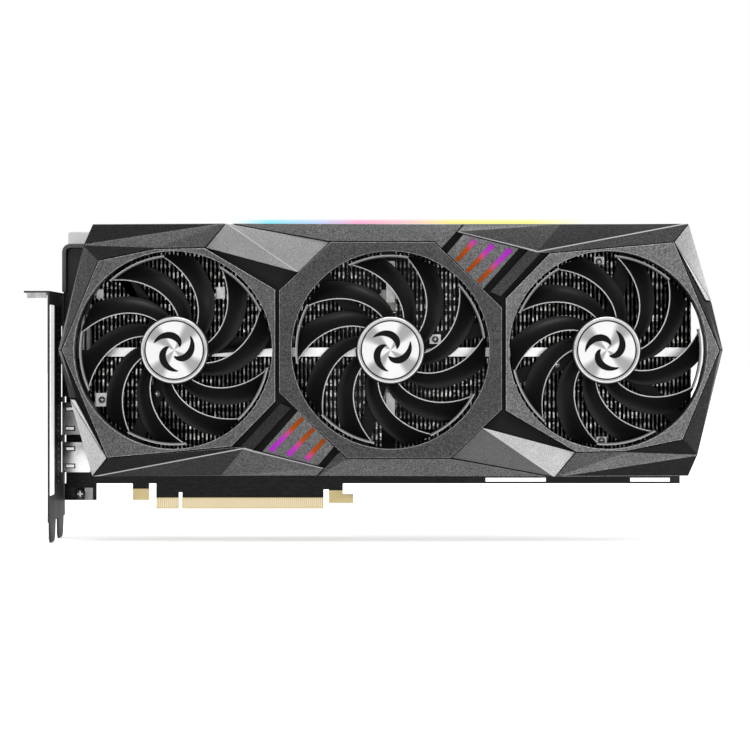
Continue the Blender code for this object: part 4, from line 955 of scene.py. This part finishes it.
# ------------------------------------------------------------------------------------------------
# Backplate: a brushed graphite-coloured plate with slanted vents behind the tail fan. Cross-head
# screws hold it, sunk in its face. Its front is dark, apart from a pale ear at the bracket end.
# ------------------------------------------------------------------------------------------------
rear_finish, rear_strokes = brushed_plate("graphite_brushed_plate", (0.05, 0.05, 0.053), (0.1, 0.1, 0.105))
rear_low, rear_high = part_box("backplate")
on_front = rear_finish.axis(rear_finish.place, "Y") < (rear_low.y + 0.5 * MM)
on_ear = ((rear_finish.axis(rear_finish.place, "X") < -70 * MM)
          * (rear_finish.axis(rear_finish.place, "Z") > centre_fan.z + 50 * MM) * on_front)
rear_colour = rear_finish.blend(on_front, rear_strokes, (0.006, 0.006, 0.006))
rear_finish.feed("Base Color", rear_finish.blend(on_ear, rear_colour, (0.42, 0.42, 0.42)))
rear_plate = softened("rear_plate", "backplate", rear_finish, "graphite_plate", edge=0.2 * MM, steps=2)
sunk = 0.2 * MM
for corner in rear_plate.data.vertices:
    if corner.co.y > (rear_low.y + rear_high.y) / 2:
        corner.co.y -= sunk

rear_level = rear_high.y / MM
rear_screws = [(u, w, rear_level) for u in (-40, 24) for w in (-32, 32)]
rear_screws += [(u, w, rear_level) for u in (-154, -96, -38, 20, 78) for w in (-54, 50)]
screw_heads("rear_screws", rear_screws, 2.4, -0.4, -0.06, -0.24)


# ------------------------------------------------------------------------------------------------
# Studio: pale floor and backdrop, soft light from above and from the sides, and the camera.
# ------------------------------------------------------------------------------------------------
floor_finish = Finish("pale_floor", (0.9, 0.9, 0.9), 0.9, Emission_Strength=0.3)
floor_finish.feed("Roughness", floor_finish.grain(3.0) * 0.1 + 0.85)
floor_level = cad_box[0][2] - 0.2 * MM
floor_reach = 6.0
bm = bmesh.new()
for x, y in ((-1, -1), (1, -1), (1, 1), (-1, 1)):
    bm.verts.new((x * floor_reach, y * floor_reach, floor_level))
bm.faces.new(bm.verts)
floor_mesh = bpy.data.meshes.new("floor")
bm.to_mesh(floor_mesh)
bm.free()
new_piece("floor", floor_mesh, floor_finish)


def soft_light(name, place, aim, size, power):
    lamp = bpy.data.lights.new(name, "AREA")
    lamp.shape = "RECTANGLE"
    lamp.size, lamp.size_y = size
    lamp.energy = power
    holder = bpy.data.objects.new(name, lamp)
    holder.location = place
    holder.rotation_euler = (Vector(aim) - Vector(place)).to_track_quat("-Z", "Y").to_euler()
    bpy.context.scene.collection.objects.link(holder)


fan_x, fan_z = centre_fan.x, centre_fan.z
aim = (fan_x, 0, fan_z)
soft_light("key_light", (fan_x + 0.15, -1.0, fan_z + 1.3), aim, (0.9, 0.5), 14)
soft_light("fill_light", (fan_x + 1.3, -0.7, fan_z + 0.25), aim, (0.3, 0.9), 6)
soft_light("rim_light", (fan_x - 1.3, -0.5, fan_z + 0.2), aim, (0.3, 0.9), 5)
overhead = bpy.data.lights.new("overhead", "SUN")
overhead.energy = 3.1
overhead.angle = math.radians(170)
overhead_holder = bpy.data.objects.new("overhead", overhead)
overhead_holder.location = (fan_x, 0, 2.0)
bpy.context.scene.collection.objects.link(overhead_holder)

world = bpy.data.worlds.new("studio")
world.use_nodes = True
backdrop = NodeTree(world.node_tree)
strength = 0.22 + backdrop.node("ShaderNodeLightPath") * 0.78
sky = world.node_tree.nodes["Background"]
sky.inputs["Color"].default_value = (1, 1, 1, 1)
world.node_tree.links.new(strength.socket, sky.inputs["Strength"])
bpy.context.scene.world = world
bpy.context.scene.view_settings.view_transform = "Standard"

camera_distance = 0.86
camera = bpy.data.cameras.new("camera")
camera.sensor_width = 36.0
camera.lens = 82.1
camera.shift_x = -0.0207
camera.shift_y = -0.0333
camera.clip_end = 50.0
viewer = bpy.data.objects.new("camera", camera)
viewer.location = (fan_x, -camera_distance, fan_z)
viewer.rotation_euler = (math.pi / 2, 0, 0)
bpy.context.scene.collection.objects.link(viewer)
bpy.context.scene.camera = viewer
